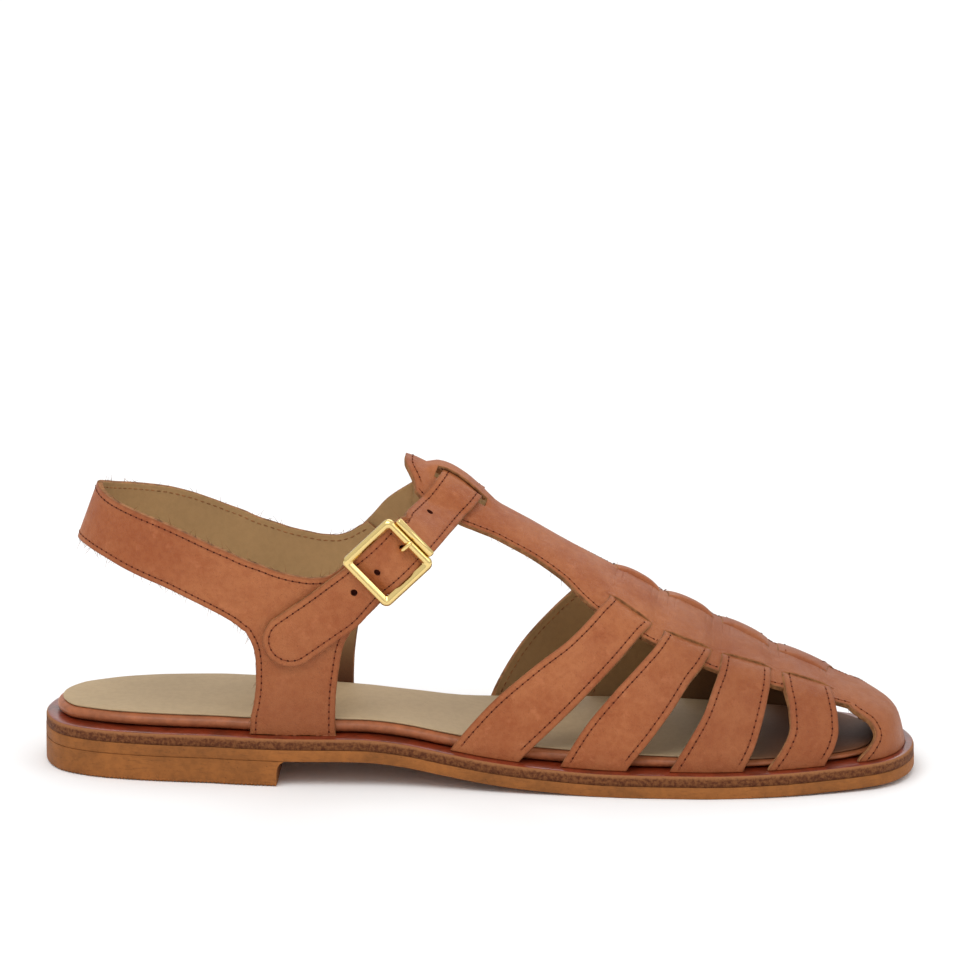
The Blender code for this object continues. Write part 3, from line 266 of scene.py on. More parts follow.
# The quarter's band from the back of the heel to the side: turn, lower edge and upper edge as shares of the
# collar height, and how much lower the upper edge runs on the inner side
HEEL_STRAP = (
    # turn, low, top, inner drop
    (0.00, 0.798, 1.000, 0.000),
    (0.10, 0.796, 0.994, 0.001),
    (0.20, 0.791, 0.983, 0.003),
    (0.30, 0.780, 0.971, 0.006),
    (0.40, 0.764, 0.959, 0.008),
    (0.50, 0.741, 0.945, 0.010),
    (0.60, 0.717, 0.929, 0.012),
    (0.70, 0.691, 0.907, 0.015),
    (0.80, 0.656, 0.879, 0.018),
    (0.90, 0.617, 0.849, 0.020),
)
# From there forward over the pillar to the tongue: low point and top point, as shares of the length and
# of the collar height, and the inner side's drop
FORWARD_LINES = (
    # low along, low up, top along, top up, inner drop
    (0.2270, 0.5730, 0.2270, 0.8230, 0.020),
    (0.2380, 0.5480, 0.2380, 0.8080, 0.020),
    (0.2600, 0.5350, 0.2560, 0.7890, 0.018),
    (0.2840, 0.5290, 0.2760, 0.7660, 0.015),
    (0.3090, 0.5290, 0.2950, 0.7520, 0.014),
    (0.3340, 0.5370, 0.3125, 0.7450, 0.017),
    (0.3590, 0.5530, 0.3275, 0.7480, 0.022),
    (0.3720, 0.5930, 0.3420, 0.7690, 0.032),
    (0.3860, 0.6370, 0.3530, 0.7990, 0.042),
    (0.4010, 0.6880, 0.3650, 0.8290, 0.052),
)
PILLAR_COLUMNS = (1, 6)         # first and last of those lines that the pillar hangs from
# The pillar below: height, rear edge, front edge
PILLAR = (
    (0.515, 0.2440, 0.3520),
    (0.480, 0.2480, 0.3485),
    (0.425, 0.2500, 0.3455),
    (0.370, 0.2500, 0.3430),
    (0.300, 0.2480, 0.3410),
    (0.225, 0.2435, 0.3405),
    (0.000, 0.2420, 0.3420),
)
INNER_PILLAR_SHIFT = 0.0100     # how much further forward the inner pillar stands, share of the length
HEEL_STRAP_BACK = 0.0375        # share of the length at the strap's lower edge
HEEL_STRAP_LEAN = 0.36          # forward for each metre up
NOSE_POWER = 1.7                # how round the curve behind the heel is
ANKLE_LEVEL = 0.76              # share of the collar height where the quarter is ankle wide
HEEL_MIDDLE = -0.006            # middle line of the quarter, share of the ball width

# The ankle strap on the outer side: its free end, from the tip to the buckle, along and up
STRAP_END = ((0.2660, 0.4640), (0.2830, 0.5080), (0.3040, 0.5550), (0.3270, 0.6060), (0.3490, 0.6580))
STRAP_INNER_END = ((0.4070, 0.8030), (0.3870, 0.7360), (0.3690, 0.6800))
# Places over the T-bar, by its outer edge 0, its slots 1 and 2 and its inner edge 3, and how far the
# strap dives
T_BAR_CROSSING = ((-0.06, -0.15), (0.33, 0.0), (0.67, 0.0), (1.05, 0.0), (1.22, 1.0), (1.5, 1.0),
                  (1.78, 1.0), (1.95, 0.0), (2.33, 0.0), (2.67, 0.0), (3.06, -0.15))
STRAP_CROSSING = 0.4785         # where the strap crosses the crest, share of the length
STRAP_SWEEP = 0.227             # how fast it runs back, share of the length for a turn squared
BUCKLE_SEAT = (0.3775, 0.7435)  # middle of the frame's rear side on the quarter, along and up
BUCKLE_SLOPE = math.radians(44.0)
HOLE_GAP = 0.0004               # from the frame's front side to the prong's hole
SEAT_PROBES = (-1.25, -1.0, -0.6, -0.2)     # where the strap under the frame is kept clear, in half frames
PUNCHED = (-2, -1, 0, 1)        # the strap's holes, in pitches from the prong's


def smooth(table, column):
    """Curve through one column of a table that keeps its flats flat and adds no bumps."""
    along = np.array([row[0] for row in table], float)
    value = np.array([row[column] for row in table], float)
    gap = np.diff(along)
    rate = np.diff(value) / gap
    slope = np.zeros(len(along))
    slope[0], slope[-1] = rate[0], rate[-1]
    for k in range(1, len(along) - 1):
        if rate[k - 1] * rate[k] > 0:
            before, after = 2 * gap[k] + gap[k - 1], gap[k] + 2 * gap[k - 1]
            slope[k] = (before + after) / (before / rate[k - 1] + after / rate[k])

    def at(where):
        where = min(max(where, along[0]), along[-1])
        k = min(max(int(np.searchsorted(along, where)) - 1, 0), len(along) - 2)
        t = (where - along[k]) / gap[k]
        return float((1 + 2 * t) * (1 - t) ** 2 * value[k] + t * (1 - t) ** 2 * gap[k] * slope[k]
                     + t * t * (3 - 2 * t) * value[k + 1] + t * t * (t - 1) * gap[k] * slope[k + 1])

    return at


def ease(value):
    value = min(max(value, 0.0), 1.0)
    return value * value * (3 - 2 * value)


def unit(vector):
    return vector / np.linalg.norm(vector)


def levelled(normal):
    """The normal without its upward part, for the foot of a wall."""
    return np.array([normal[0], normal[1], 0.0]) / np.hypot(normal[0], normal[1])


def lengths_along(points):
    """How far along their run the points lie."""
    return np.concatenate([[0.0], np.cumsum(np.linalg.norm(np.diff(points, axis=0), axis=1))])


def round_key(share):
    """Angle for a share of the length, so that curves through it close round at both ends."""
    return math.acos(1 - 2 * min(max(share, 0.0), 1.0))


ROUND_OUTLINE = tuple((round_key(along), middle, half) for along, middle, half in OUTLINE)
outline_middle = smooth(ROUND_OUTLINE, 1)
outline_half = smooth(ROUND_OUTLINE, 2)
heel_lift = smooth(UNDERSIDE, 1)
toe_spring = smooth(UNDERSIDE, 2)
insole_taper = smooth(INSOLE_TAPER, 1)
crest_height, crest_shift, outer_body, inner_body, outer_power, inner_power = (
    smooth(LAST, k) for k in range(1, 7)
)
spine_turns = tuple(smooth(SPINE, k) for k in range(1, 5))


def along_of(share):
    return (share - 0.5) * LENGTH


def share_of(x):
    return x / LENGTH + 0.5


def outline_at(angle):
    """Point on the sole's edge: 0 at the heel, pi at the toe by the inner side, 2 pi back at the heel."""
    inner = angle <= math.pi
    key = angle if inner else 2 * math.pi - angle
    side = 1 if inner else -1
    middle, half = outline_middle(key), outline_half(key)
    return np.array([-LENGTH / 2 * math.cos(key), BALL_WIDTH * (middle + side * half)])


def inset_at(angle, inset):
    """Point that lies the inset inside the sole's edge."""
    step = 1e-3
    run = outline_at((angle + step) % (2 * math.pi)) - outline_at((angle - step) % (2 * math.pi))
    inward = np.array([run[1], -run[0]]) / np.hypot(*run)
    return outline_at(angle % (2 * math.pi)) + inward * inset


def underside(x):
    """Height of the outsole's underside."""
    share = share_of(x)
    return (HEEL_BLOCK_HEIGHT + CLEARANCE) * heel_lift(share) + TOE_SPRING * toe_spring(share)


def welt_bottom(x):
    return underside(x) + OUTSOLE_THICKNESS + CLEARANCE


def welt_top(x):
    return welt_bottom(x) + WELT_THICKNESS


def upper_foot(x):
    """Height at which the upper and the insole stand on the welt."""
    return welt_top(x) + CLEARANCE


def ring_faces(rings, count):
    """Quads between rings of points that each close on themselves."""
    faces = []
    for ring in range(rings - 1):
        for k in range(count):
            after = (k + 1) % count
            faces.append((ring * count + k, ring * count + after, (ring + 1) * count + after,
                          (ring + 1) * count + k))
    return faces


def cap_faces(start, count):
    """Quads across a ring, each joining its inner side to its outer side."""
    faces = [(start, start + 1, start + count - 1)]
    half = count // 2
    for k in range(1, half - 1):
        faces.append((start + k, start + k + 1, start + count - k - 1, start + count - k))
    faces.append((start + half - 1, start + half, start + half + 1))
    return faces


def toe_share(angle):
    return (1 - math.cos(angle)) / 2


def insole_inset(angle):
    """The board stands inside the straps' wall, and closer to the edge behind the heel."""
    side = WELT_SHOW + WALL + 2 * CLEARANCE
    lean = 0.0013
    share = toe_share(angle)
    behind = (1 - min(share / 0.06, 1.0)) ** 2
    ahead = min(max((share - 0.45) / 0.15, 0.0), 1.0)
    tip = min(max((share - 0.93) / 0.07, 0.0), 1.0)
    return side - (side - BACK_SHOW) * behind + lean * ahead + 2 * lean * tip


def base_lines():
    """Outer and inner feet of the upper as curves of x, set in from the sole's edge."""
    def show(angle):
        return WELT_SHOW + (TOE_SHOW - WELT_SHOW) * toe_share(angle) ** 12

    angles = [math.pi * k / 400 for k in range(120, 401)]
    inner = np.array([inset_at(angle, show(angle)) for angle in angles])
    outer = np.array([inset_at(2 * math.pi - angle, show(angle)) for angle in angles])
    return outer, inner


OUTER_FOOT, INNER_FOOT = base_lines()
TIP = float(INNER_FOOT[-1][0])
TIP_MIDDLE = float(INNER_FOOT[-1][1])


def last_point(x, turn):
    """Outside of the upper's wall where nothing is raised: turn runs from -1 at the outer foot to 1."""
    share = share_of(x)
    nearness = min(max((TIP - x) / (0.0115 * LENGTH), 0.0), 1.0)
    closing = math.sqrt(nearness * (2 - nearness))
    foot = upper_foot(x)
    crest_y = BALL_WIDTH * crest_shift(share)
    crest_y = TIP_MIDDLE + (crest_y - TIP_MIDDLE) * closing
    rise = max(INSTEP_HEIGHT * crest_height(share) - foot, 0.0) * closing
    outer = turn < 0
    feet = OUTER_FOOT if outer else INNER_FOOT
    reach = abs(float(np.interp(x, feet[:, 0], feet[:, 1])) - crest_y)
    body = BALL_WIDTH * (outer_body(share) if outer else inner_body(share))
    ahead = min(max((share - 0.60) / 0.06, 0.0), 1.0)
    body += (reach - body) * ahead
    power = 2 / (outer_power(share) if outer else inner_power(share))
    angle = abs(turn) * math.pi / 2
    across = body * math.sin(angle) ** power + (reach - body) * math.sin(angle) ** 8
    up = rise * max(math.cos(angle), 0.0) ** power
    return np.array([x, crest_y + (-across if outer else across), foot + up])


def normal_of(surface, u, v, du, dv):
    """Outward normal of a surface, by small steps; the order of u and v makes it point out."""
    run_u = surface(u + du, v) - surface(u - du, v)
    run_v = surface(u, v + dv) - surface(u, v - dv)
    normal = np.cross(run_u, run_v)
    return unit(normal)


def last_normal(x, turn):
    x = min(x, TIP - TIP_REACH)
    turn = min(max(turn, -FOOT_TURN), FOOT_TURN)
    return normal_of(last_point, x, turn, 0.0003, 0.01)


SAME = 1e-6                 # places closer than this are one
FOOT_TURN = 0.985           # beyond it the upper's wall stands upright on the welt
TIP_REACH = 0.0006          # normals closer to the tip are those of this distance
# The spine's edges and slots as places of a cross line, see STRAP_LINES
OUTER_EDGE, OUTER_SLOT, OUTER_BRIDGE, INNER_BRIDGE, INNER_SLOT, INNER_EDGE = 4.0, 5.0, 5.25, 5.75, 6.0, 7.0
loop_arch = smooth(LOOP_ARCH, 1)
SIDE_START = HEEL_STRAP_BACK * LENGTH + NOSE_LENGTH - LENGTH / 2
STRAP_BACK_HEIGHT = HEEL_STRAP[0][1] * COLLAR_HEIGHT


def rear_point(turn, z):
    """Outside of the quarter: turn 0 at the back, 1 or -1 where the sides begin, then on forward."""
    side = -1 if turn < 0 else 1
    angle = min(abs(turn), 1.0) * math.pi / 2
    lean = HEEL_STRAP_LEAN * (z - STRAP_BACK_HEIGHT)
    power = 2 / NOSE_POWER
    x = SIDE_START - NOSE_LENGTH * max(math.cos(angle), 0.0) ** power + lean * math.cos(angle)
    x += max(abs(turn) - 1.0, 0.0) * NOSE_LENGTH
    low_x = min(max(x, along_of(0.23)), along_of(0.41))
    key = round_key(share_of(low_x))
    foot = inset_at(key if side > 0 else 2 * math.pi - key, WELT_SHOW)[1]
    middle = HEEL_MIDDLE * BALL_WIDTH
    foot_z = welt_top(low_x)
    rise = ease((z - foot_z) / (ANKLE_LEVEL * COLLAR_HEIGHT - foot_z))
    low = abs(foot - middle)
    half = low + (ANKLE_WIDTH / 2 - low) * rise
    return np.array([x, middle + side * half * math.sin(angle) ** power, z])


def rear_normal(turn, z):
    turn = turn if abs(turn) > SAME else SAME
    normal = normal_of(rear_point, turn, z, 0.012, 0.0004)
    outward = rear_point(turn, z) - np.array([along_of(0.25), 0.0, z])
    return normal if float(np.dot(normal, outward)) > 0 else -normal


def side_turn(x):
    return 1.0 + (x - SIDE_START) / NOSE_LENGTH


def side_point(side, along, up):
    """Point on the quarter's side from shares of the length and of the collar height."""
    return rear_point(side * side_turn(along_of(along)), up * COLLAR_HEIGHT)


def buckle_frame_axes():
    """Middle of the frame, with its directions along the strap, across it and outwards."""
    along, up = BUCKLE_SEAT
    turn = -side_turn(along_of(along))
    out = rear_normal(turn, up * COLLAR_HEIGHT)
    run = np.array([math.cos(BUCKLE_SLOPE), 0.0, math.sin(BUCKLE_SLOPE)])
    run = run - out * float(np.dot(run, out))
    run = unit(run)
    across = np.cross(run, out)
    across = across if across[2] < 0 else -across
    height = 2 * CLEARANCE + STRAP_THICKNESS + BUCKLE_THICKNESS / 2
    reach = (BUCKLE_LENGTH - BUCKLE_BAR) / 2
    middle = side_point(-1, along, up) + out * height + run * reach
    lack = 0.0
    for place in SEAT_PROBES:
        for part in (-0.5, -0.25, 0.0, 0.25, 0.5):
            spot = middle + run * reach * place + across * STRAP_WIDTH * part
            spot = spot + out * strap_level(reach * place)
            lack = max(lack, spot[1] - clear_of_quarter(spot, -1)[1])
    return middle + out * (lack + CLEARANCE / 3), run, across, out


def strap_level(u):
    """Height of the strap's middle over the frame's: under its two sides, over the centre bar."""
    under = -(BUCKLE_THICKNESS / 2 + CLEARANCE + STRAP_THICKNESS / 2)
    over = -BUCKLE_THICKNESS / 2 + CLEARANCE + STRAP_THICKNESS / 2
    part = min(abs(u) / (BUCKLE_LENGTH / 2 - BUCKLE_BAR - CLEARANCE), 1.0) ** 1.8
    return over + (under - over) * part * part * (3 - 2 * part)


def clear_of_quarter(spot, side):
    """Same place, moved sideways where the quarter is too near."""
    if share_of(spot[0]) > FORWARD_LINES[-1][0] + 0.02:
        return spot
    surface = rear_point(side * side_turn(spot[0]), spot[2])
    reach = abs(surface[1]) + (CLEARANCE + STRAP_THICKNESS / 2) * 1.04
    return np.array([spot[0], side * max(abs(spot[1]), reach), spot[2]])


def strap_rails():
    """Control lines of the ankle strap's middle surface: five points across, tip to inner end."""
    shares = np.linspace(-1.0, 1.0, 15)
    lift = CLEARANCE + STRAP_THICKNESS / 2
    middle, along, across, out = buckle_frame_axes()
    lines = []
    end = [np.array([along_of(a), 0.0, up * COLLAR_HEIGHT]) for a, up in STRAP_END]
    for k, (share, up) in enumerate(STRAP_END):
        run = end[min(k + 1, len(end) - 1)] - end[max(k - 1, 0)]
        run = unit(run)
        wide = np.array([run[2], 0.0, -run[0]]) * STRAP_END_WIDTH / 2
        line = []
        for part in shares:
            flat = end[k] + wide * part
            turn = -side_turn(flat[0])
            line.append(rear_point(turn, flat[2]) + rear_normal(turn, flat[2]) * lift)
        lines.append(line)
    reach = BUCKLE_LENGTH / 2 - BUCKLE_BAR - CLEARANCE
    for place in (-1.6, -1.0, -0.67, -0.33, 0.0, 0.33, 0.67, 1.0, 1.6):
        spot = middle + along * place * reach + out * strap_level(place * reach)
        wide = STRAP_WIDTH / 2 + CLEARANCE * 0.7 + 0.0002
        lines.append([spot + across * wide * part for part in shares])
    half_x = STRAP_WIDTH / 2 * 0.87
    crossing = along_of(STRAP_CROSSING)
    for place, level in T_BAR_CROSSING:
        line = []
        for part in shares:
            edges = [turn(STRAP_CROSSING + half_x * part / LENGTH) for turn in spine_turns]
            turn = float(np.interp(place, (0.0, 1.0, 2.0, 3.0), edges))
            x = crossing - STRAP_SWEEP * LENGTH * (turn - 0.02) ** 2 + half_x * part
            bridge = LOOP_RAISE * loop_arch(share_of(x)) - THIN_WALL - LOOP_GAP / 2 - STRAP_THICKNESS / 2
            line.append(last_point(x, turn) + last_normal(x, turn) * (lift + (bridge - lift) * level))
        lines.append(line)
    run = np.array([math.sin(BUCKLE_SLOPE), 0.0, -math.cos(BUCKLE_SLOPE)])
    for share, up in STRAP_INNER_END:
        flat = np.array([along_of(share), 0.0, up * COLLAR_HEIGHT])
        line = []
        for part in shares:
            spot = flat + run * STRAP_WIDTH / 2 * part
            turn = side_turn(spot[0])
            line.append(rear_point(turn, spot[2]) + rear_normal(turn, spot[2]) * lift)
        lines.append(line)
    return np.array(lines)


def spline_lines(lines, steps):
    """Smooth curve through matching points of a list of lines, by chord-length Catmull-Rom."""
    middle = lines[:, lines.shape[1] // 2]
    chord = np.concatenate([[0.0], np.cumsum(np.sqrt(np.linalg.norm(np.diff(middle, axis=0), axis=1)))])
    count = len(lines)
    slope = np.zeros_like(lines)
    for k in range(count):
        before, after = max(k - 1, 0), min(k + 1, count - 1)
        slope[k] = (lines[after] - lines[before]) / (chord[after] - chord[before])
    out = []
    for k in range(count - 1):
        gap = chord[k + 1] - chord[k]
        for step in range(steps[k]):
            t = step / steps[k]
            out.append((1 + 2 * t) * (1 - t) ** 2 * lines[k] + t * (1 - t) ** 2 * gap * slope[k]
                       + t * t * (3 - 2 * t) * lines[k + 1] + t * t * (t - 1) * gap * slope[k + 1])
    out.append(lines[-1])
    return np.array(out)


def round_tip(lines):
    """Pull the first lines in so that the strap's free end is round."""
    middle = lines[:, lines.shape[1] // 2]
    run = lengths_along(middle)
    radius = STRAP_END_WIDTH / 2
    out = lines.copy()
    for k, travelled in enumerate(run):
        if travelled >= radius:
            break
        shrink = math.sqrt(max(1 - (1 - travelled / radius) ** 2, 0.0))
        out[k] = middle[k] + (lines[k] - middle[k]) * max(shrink, 0.10)
    return out


def strap_surface():
    """Middle surface of the ankle strap in fine steps, tip to inner end."""
    control = strap_rails()
    steps = [22, 10, 8, 8, 6] + [5] * 8 + [14] + [4] * 10 + [10, 8, 8]
    surface = round_tip(spline_lines(control, steps))
    inner_start = sum(steps[:-3])
    for i, line in enumerate(surface):
        side = -1 if i < inner_start else 1
        for j, spot in enumerate(line):
            surface[i][j] = clear_of_quarter(spot, side)
    return surface


def hole_spots():
    """Middles and directions of the punched holes, one pitch apart along the strap from the prong's."""
    middle, along, _, out = FRAME_AXES
    return [(middle + along * (prong_place() + step * HOLE_PITCH), out) for step in PUNCHED]


def prong_place():
    """Where the prong comes up through the strap, from the frame's middle."""
    return BUCKLE_LENGTH / 2 - BUCKLE_BAR - HOLE_DIAMETER / 2 - HOLE_GAP


FRAME_AXES = buckle_frame_axes()


def in_frame(u, v, w):
    """World point from places along the strap, across it and outwards, from the frame's middle."""
    middle, along, across, out = FRAME_AXES
    return middle + along * u + across * v + out * w


def rounded_rectangle(half_u, half_v, radius, steps):
    points = []
    corners = ((1, 1, 0.0), (-1, 1, 90.0), (-1, -1, 180.0), (1, -1, 270.0))
    for su, sv, start in corners:
        for k in range(steps + 1):
            angle = math.radians(start + 90.0 * k / steps)
            points.append((su * (half_u - radius) + radius * math.cos(angle),
                           sv * (half_v - radius) + radius * math.sin(angle)))
    return points


def tint(red, green, blue):
    """Linear colour from the 0 to 255 values of a picture."""
    return tuple((v / 255 / 12.92) if v / 255 <= 0.04045 else ((v / 255 + 0.055) / 1.055) ** 2.4
                 for v in (red, green, blue))


def colour_prop(name, about, default):
    return FloatVectorProperty(name=name, description=about, default=default, size=3, min=0.0, max=1.0,
                               subtype="COLOR")


def length_prop(name, about, default):
    return FloatProperty(name=name, description=about, default=default, min=0.0, soft_max=0.02, precision=5,
                         subtype="DISTANCE", unit="LENGTH")


class SandalFinish(bpy.types.PropertyGroup):
    leather: colour_prop("Leather", "Colour of the straps", tint(171, 102, 59))
    leather_deep: colour_prop("Leather shade", "Colour of the leather's darker clouds", tint(150, 78, 38))
    lining: colour_prop("Lining", "Colour inside the straps", tint(172, 137, 94))
    raw_edge: colour_prop("Raw edge", "Colour of the cut edges", tint(164, 112, 70))
    thread: colour_prop("Thread", "Colour of the stitches", tint(140, 72, 42))
    # Painted shade: the dark of the needle holes, and of the punched holes' walls and floors
    needle: colour_prop("Needle holes", "Colour of the holes between the stitches", tint(78, 26, 12))
    sock: colour_prop("Sock", "Colour of the insole's sock", tint(184, 160, 126))
    rim: colour_prop("Rim", "Colour of the insole's rim", tint(176, 104, 66))
    welt_top: colour_prop("Welt top", "Colour of the welt's waxed top", tint(136, 50, 24))
    welt_side: colour_prop("Welt side", "Colour of the welt's sanded edge", tint(150, 98, 60))
    sole: colour_prop("Sole", "Colour of the outsole and heel", tint(160, 98, 45))
    gold: colour_prop("Buckle", "Colour of the buckle", tint(236, 208, 138))


class SandalSeams(bpy.types.PropertyGroup):
    pitch: length_prop("Pitch", "From one stitch to the next", 0.0021)
    length: length_prop("Stitch length", "Length of a stitch that shows", 0.0016)
    width: length_prop("Thread width", "Thickness of the thread", 0.00042)
    margin: length_prop("Margin", "From the cut edge to the seam", 0.0020)
    fibre: length_prop("Fibre length", "Length of a loose fibre on a raw edge", 0.0022)
    seed: IntProperty(name="Seed", description="Seed for the fibres and the stitches' small differences",
                      default=4, min=0)


class SandalStage(bpy.types.PropertyGroup):
    key: FloatProperty(name="Key light", description="Power of the large light above", default=24.0, min=0.0,
                       subtype="POWER", unit="POWER")
    sky: FloatProperty(name="Sky", description="Strength of the even light from all round", default=0.92,
                       min=0.0)
    floor: colour_prop("Floor", "Colour of the floor", (0.98, 0.98, 0.98))


# Meshes


def finish_mesh(name, points, faces, materials, indices=None, merge=1e-5):
    """Object from points and faces: doubles merged, faces turned out, shaded smooth."""
    mesh = bpy.data.meshes.new(name)
    mesh.from_pydata([tuple(p) for p in points], [], faces)
    for finish in materials:
        mesh.materials.append(finish)
    if indices is not None:
        mesh.polygons.foreach_set("material_index", indices)
    work = bmesh.new()
    work.from_mesh(mesh)
    bmesh.ops.remove_doubles(work, verts=work.verts, dist=merge)
    loose = [v for v in work.verts if not v.link_faces]
    bmesh.ops.delete(work, geom=loose, context="VERTS")
    bmesh.ops.recalc_face_normals(work, faces=work.faces)
    work.to_mesh(mesh)
    work.free()
    made = bpy.data.objects.new(name, mesh)
    bpy.context.scene.collection.objects.link(made)
    mesh.shade_smooth()
    return made


def soften(made, width, angle=48.0, segments=2):
    """Rounded edges, kept as a modifier."""
    bevel = made.modifiers.new("rounded edges", "BEVEL")
    bevel.width = width
    bevel.segments = segments
    bevel.limit_method = "ANGLE"
    bevel.angle_limit = math.radians(angle)
    bevel.use_clamp_overlap = False
    made.data.set_sharp_from_angle(angle=math.radians(75.0))


def mark_distance(made, name, marks, limit=0.01):
    """Attribute with each point's distance to the nearest of the marks."""
    tree = KDTree(len(marks))
    for k, mark in enumerate(marks):
        tree.insert(mark, k)
    tree.balance()
    layer = made.data.attributes.new(name, "FLOAT", "POINT")
    for k, vertex in enumerate(made.data.vertices):
        layer.data[k].value = min(tree.find(vertex.co)[2], limit)


def mark_values(made, name, value):
    """Attribute worked out from each point's place."""
    layer = made.data.attributes.new(name, "FLOAT", "POINT")
    for k, vertex in enumerate(made.data.vertices):
        layer.data[k].value = value(vertex.co)


def dress(made, slot, *nodes):
    """Puts a finished piece on the frame, in place of its solids."""
    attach(made, "root")
    if nodes:
        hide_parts(*nodes)


def wall_mesh(name, outside, inside, present, materials, raw=None):
    """Closed wall from two grids: slot 0 outside, 1 inside and 2 on the cut edges and where raw says so."""
    rows, columns = len(outside), len(outside[0])
    points = [p for row in outside for p in row] + [p for row in inside for p in row]
    offset = rows * columns
    faces, indices = [], []

    def filled(i, j):
        return 0 <= i < rows - 1 and 0 <= j < columns - 1 and present[i][j]

    for i in range(rows - 1):
        for j in range(columns - 1):
            if not present[i][j]:
                continue
            a, b = i * columns + j, i * columns + j + 1
            c, d = (i + 1) * columns + j + 1, (i + 1) * columns + j
            faces += [(a, b, c, d), (offset + d, offset + c, offset + b, offset + a)]
            indices += [2 if raw and raw(i, j) else 0, 1]
            for gone, edge in ((not filled(i - 1, j), (b, a)), (not filled(i + 1, j), (d, c)),
                               (not filled(i, j - 1), (a, d)), (not filled(i, j + 1), (c, b))):
                if gone:
                    faces.append((edge[0], edge[1], offset + edge[1], offset + edge[0]))
                    indices.append(2)
    return finish_mesh(name, points, faces, materials, indices)


def rounded_layer(name, angles, profile, bottom, top, materials):
    """Sole layer: each profile row gives the inset from the sole's edge and the share of its height."""
    points = []
    for inset, level in profile:
        for angle in angles:
            x, y = inset_at(angle, inset(angle) if callable(inset) else inset)
            points.append((x, y, bottom(x) + (top(x) - bottom(x)) * level))
    count = len(angles)
    faces = ring_faces(len(profile), count)
    faces += cap_faces(0, count) + cap_faces((len(profile) - 1) * count, count)
    return finish_mesh(name, points, faces, materials)


# Sole


SOLE_STEPS = 150            # points round each side of the outsole and the welt
BOARD_STEPS = 130           # and of the insole
RIB_PITCH = 0.0012
RIB_HEIGHT = 0.00035
BREAST_DEPTH = 0.0022       # how far the heel's breast leans forward at its top


def fine_angles(count):
    side = [math.pi * k / count for k in range(1, count)]
    return [0.0] + side + [math.pi] + [2 * math.pi - angle for angle in reversed(side)]


def outsole_piece(finish):
    bevel = 0.0005
    profile = ((0.004, 0.0), (bevel, 0.0), (bevel * 0.3, 0.05), (0.0, 0.16), (0.0, 0.5), (0.0, 0.9),
               (0.0002, 1.0), (0.004, 1.0))
    made = rounded_layer("outsole_layer", fine_angles(SOLE_STEPS), profile, underside,
                         lambda x: underside(x) + OUTSOLE_THICKNESS + CLEARANCE * 0.5, [finish])
    made.data.set_sharp_from_angle(angle=math.radians(35.0))
    dress(made, "honey_sole", "outsole")


def heel_piece(finish):
    """Heel with ribs across its underside, and its breast hollowed."""
    last_angle = round_key(HEEL_BREAST)
    xs = np.linspace(0.0, HEEL_BREAST, int(HEEL_BREAST * LENGTH / RIB_PITCH * 6))
    side = [round_key(share) for share in xs[1:]]
    side[-1] = last_angle
    angles = [0.0] + side + [2 * math.pi - angle for angle in reversed(side)]
    steps = len(side)
    profile = (
        # inset, level, how far forward at the breast, how much the ribs show
        (0.0040, 0.0, 0.0, 0.30), (0.0006, 0.0, 0.0, 1.0), (0.0001, 0.05, 0.0, 0.8), (0.0, 0.1, 0.0, 0.0),
        (0.0, 0.5, 0.0, 0.0), (0.0, 0.62, 0.04, 0.0), (0.0, 0.78, 0.18, 0.0), (0.0, 0.9, 0.48, 0.0),
        (0.0, 1.0, 1.0, 0.0),
    )
    points = []
    top = HEEL_BLOCK_HEIGHT + CLEARANCE * 1.2
    for inset, level, forward, ribbed in profile:
        for k, angle in enumerate(angles):
            x, y = inset_at(angle, inset)
            if k in (steps, steps + 1):
                x = along_of(HEEL_BREAST) + BREAST_DEPTH * forward
            wave = 0.5 - 0.5 * math.cos(2 * math.pi * (x - along_of(0.0)) / RIB_PITCH)
            points.append((x, y, top * level + RIB_HEIGHT * ribbed * wave))
    count = len(angles)
    faces = ring_faces(len(profile), count)
    for start in (0, (len(profile) - 1) * count):
        faces.append((start, start + 1, start + count - 1))
        for k in range(1, steps):
            faces.append((start + k, start + k + 1, start + count - k - 1, start + count - k))
    made = finish_mesh("ribbed_heel", points, faces, [finish])
    made.data.set_sharp_from_angle(angle=math.radians(32.0))
    dress(made, "honey_sole", "heel_block")


def welt_piece(side_finish, top_finish):
    edge = 0.0001
    profile = ((0.004, 0.0), (edge, 0.0), (edge, 0.35), (edge, 0.70), (edge + 0.00015, 0.84),
               (edge + 0.0005, 0.95), (edge + 0.0010, 0.992), (edge + 0.0016, 1.0), (edge + 0.0030, 1.0),
               (0.008, 1.0))
    points = []
    angles = fine_angles(SOLE_STEPS)
    for inset, level in profile:
        for angle in angles:
            x, y = inset_at(angle, inset)
            points.append((x, y, welt_bottom(x) + WELT_THICKNESS * level))
    count = len(angles)
    faces = ring_faces(len(profile), count)
    indices = [0] * (count * 5) + [1] * (len(faces) - count * 5)
    low, high = cap_faces(0, count), cap_faces((len(profile) - 1) * count, count)
    made = finish_mesh("welt_strip", points, faces + low + high, [side_finish, top_finish],
                       indices + [0] * len(low) + [1] * len(high))
    mark_values(made, "level", lambda co: (co.z - welt_bottom(co.x)) / WELT_THICKNESS)
    dress(made, "red_welt", "welt")


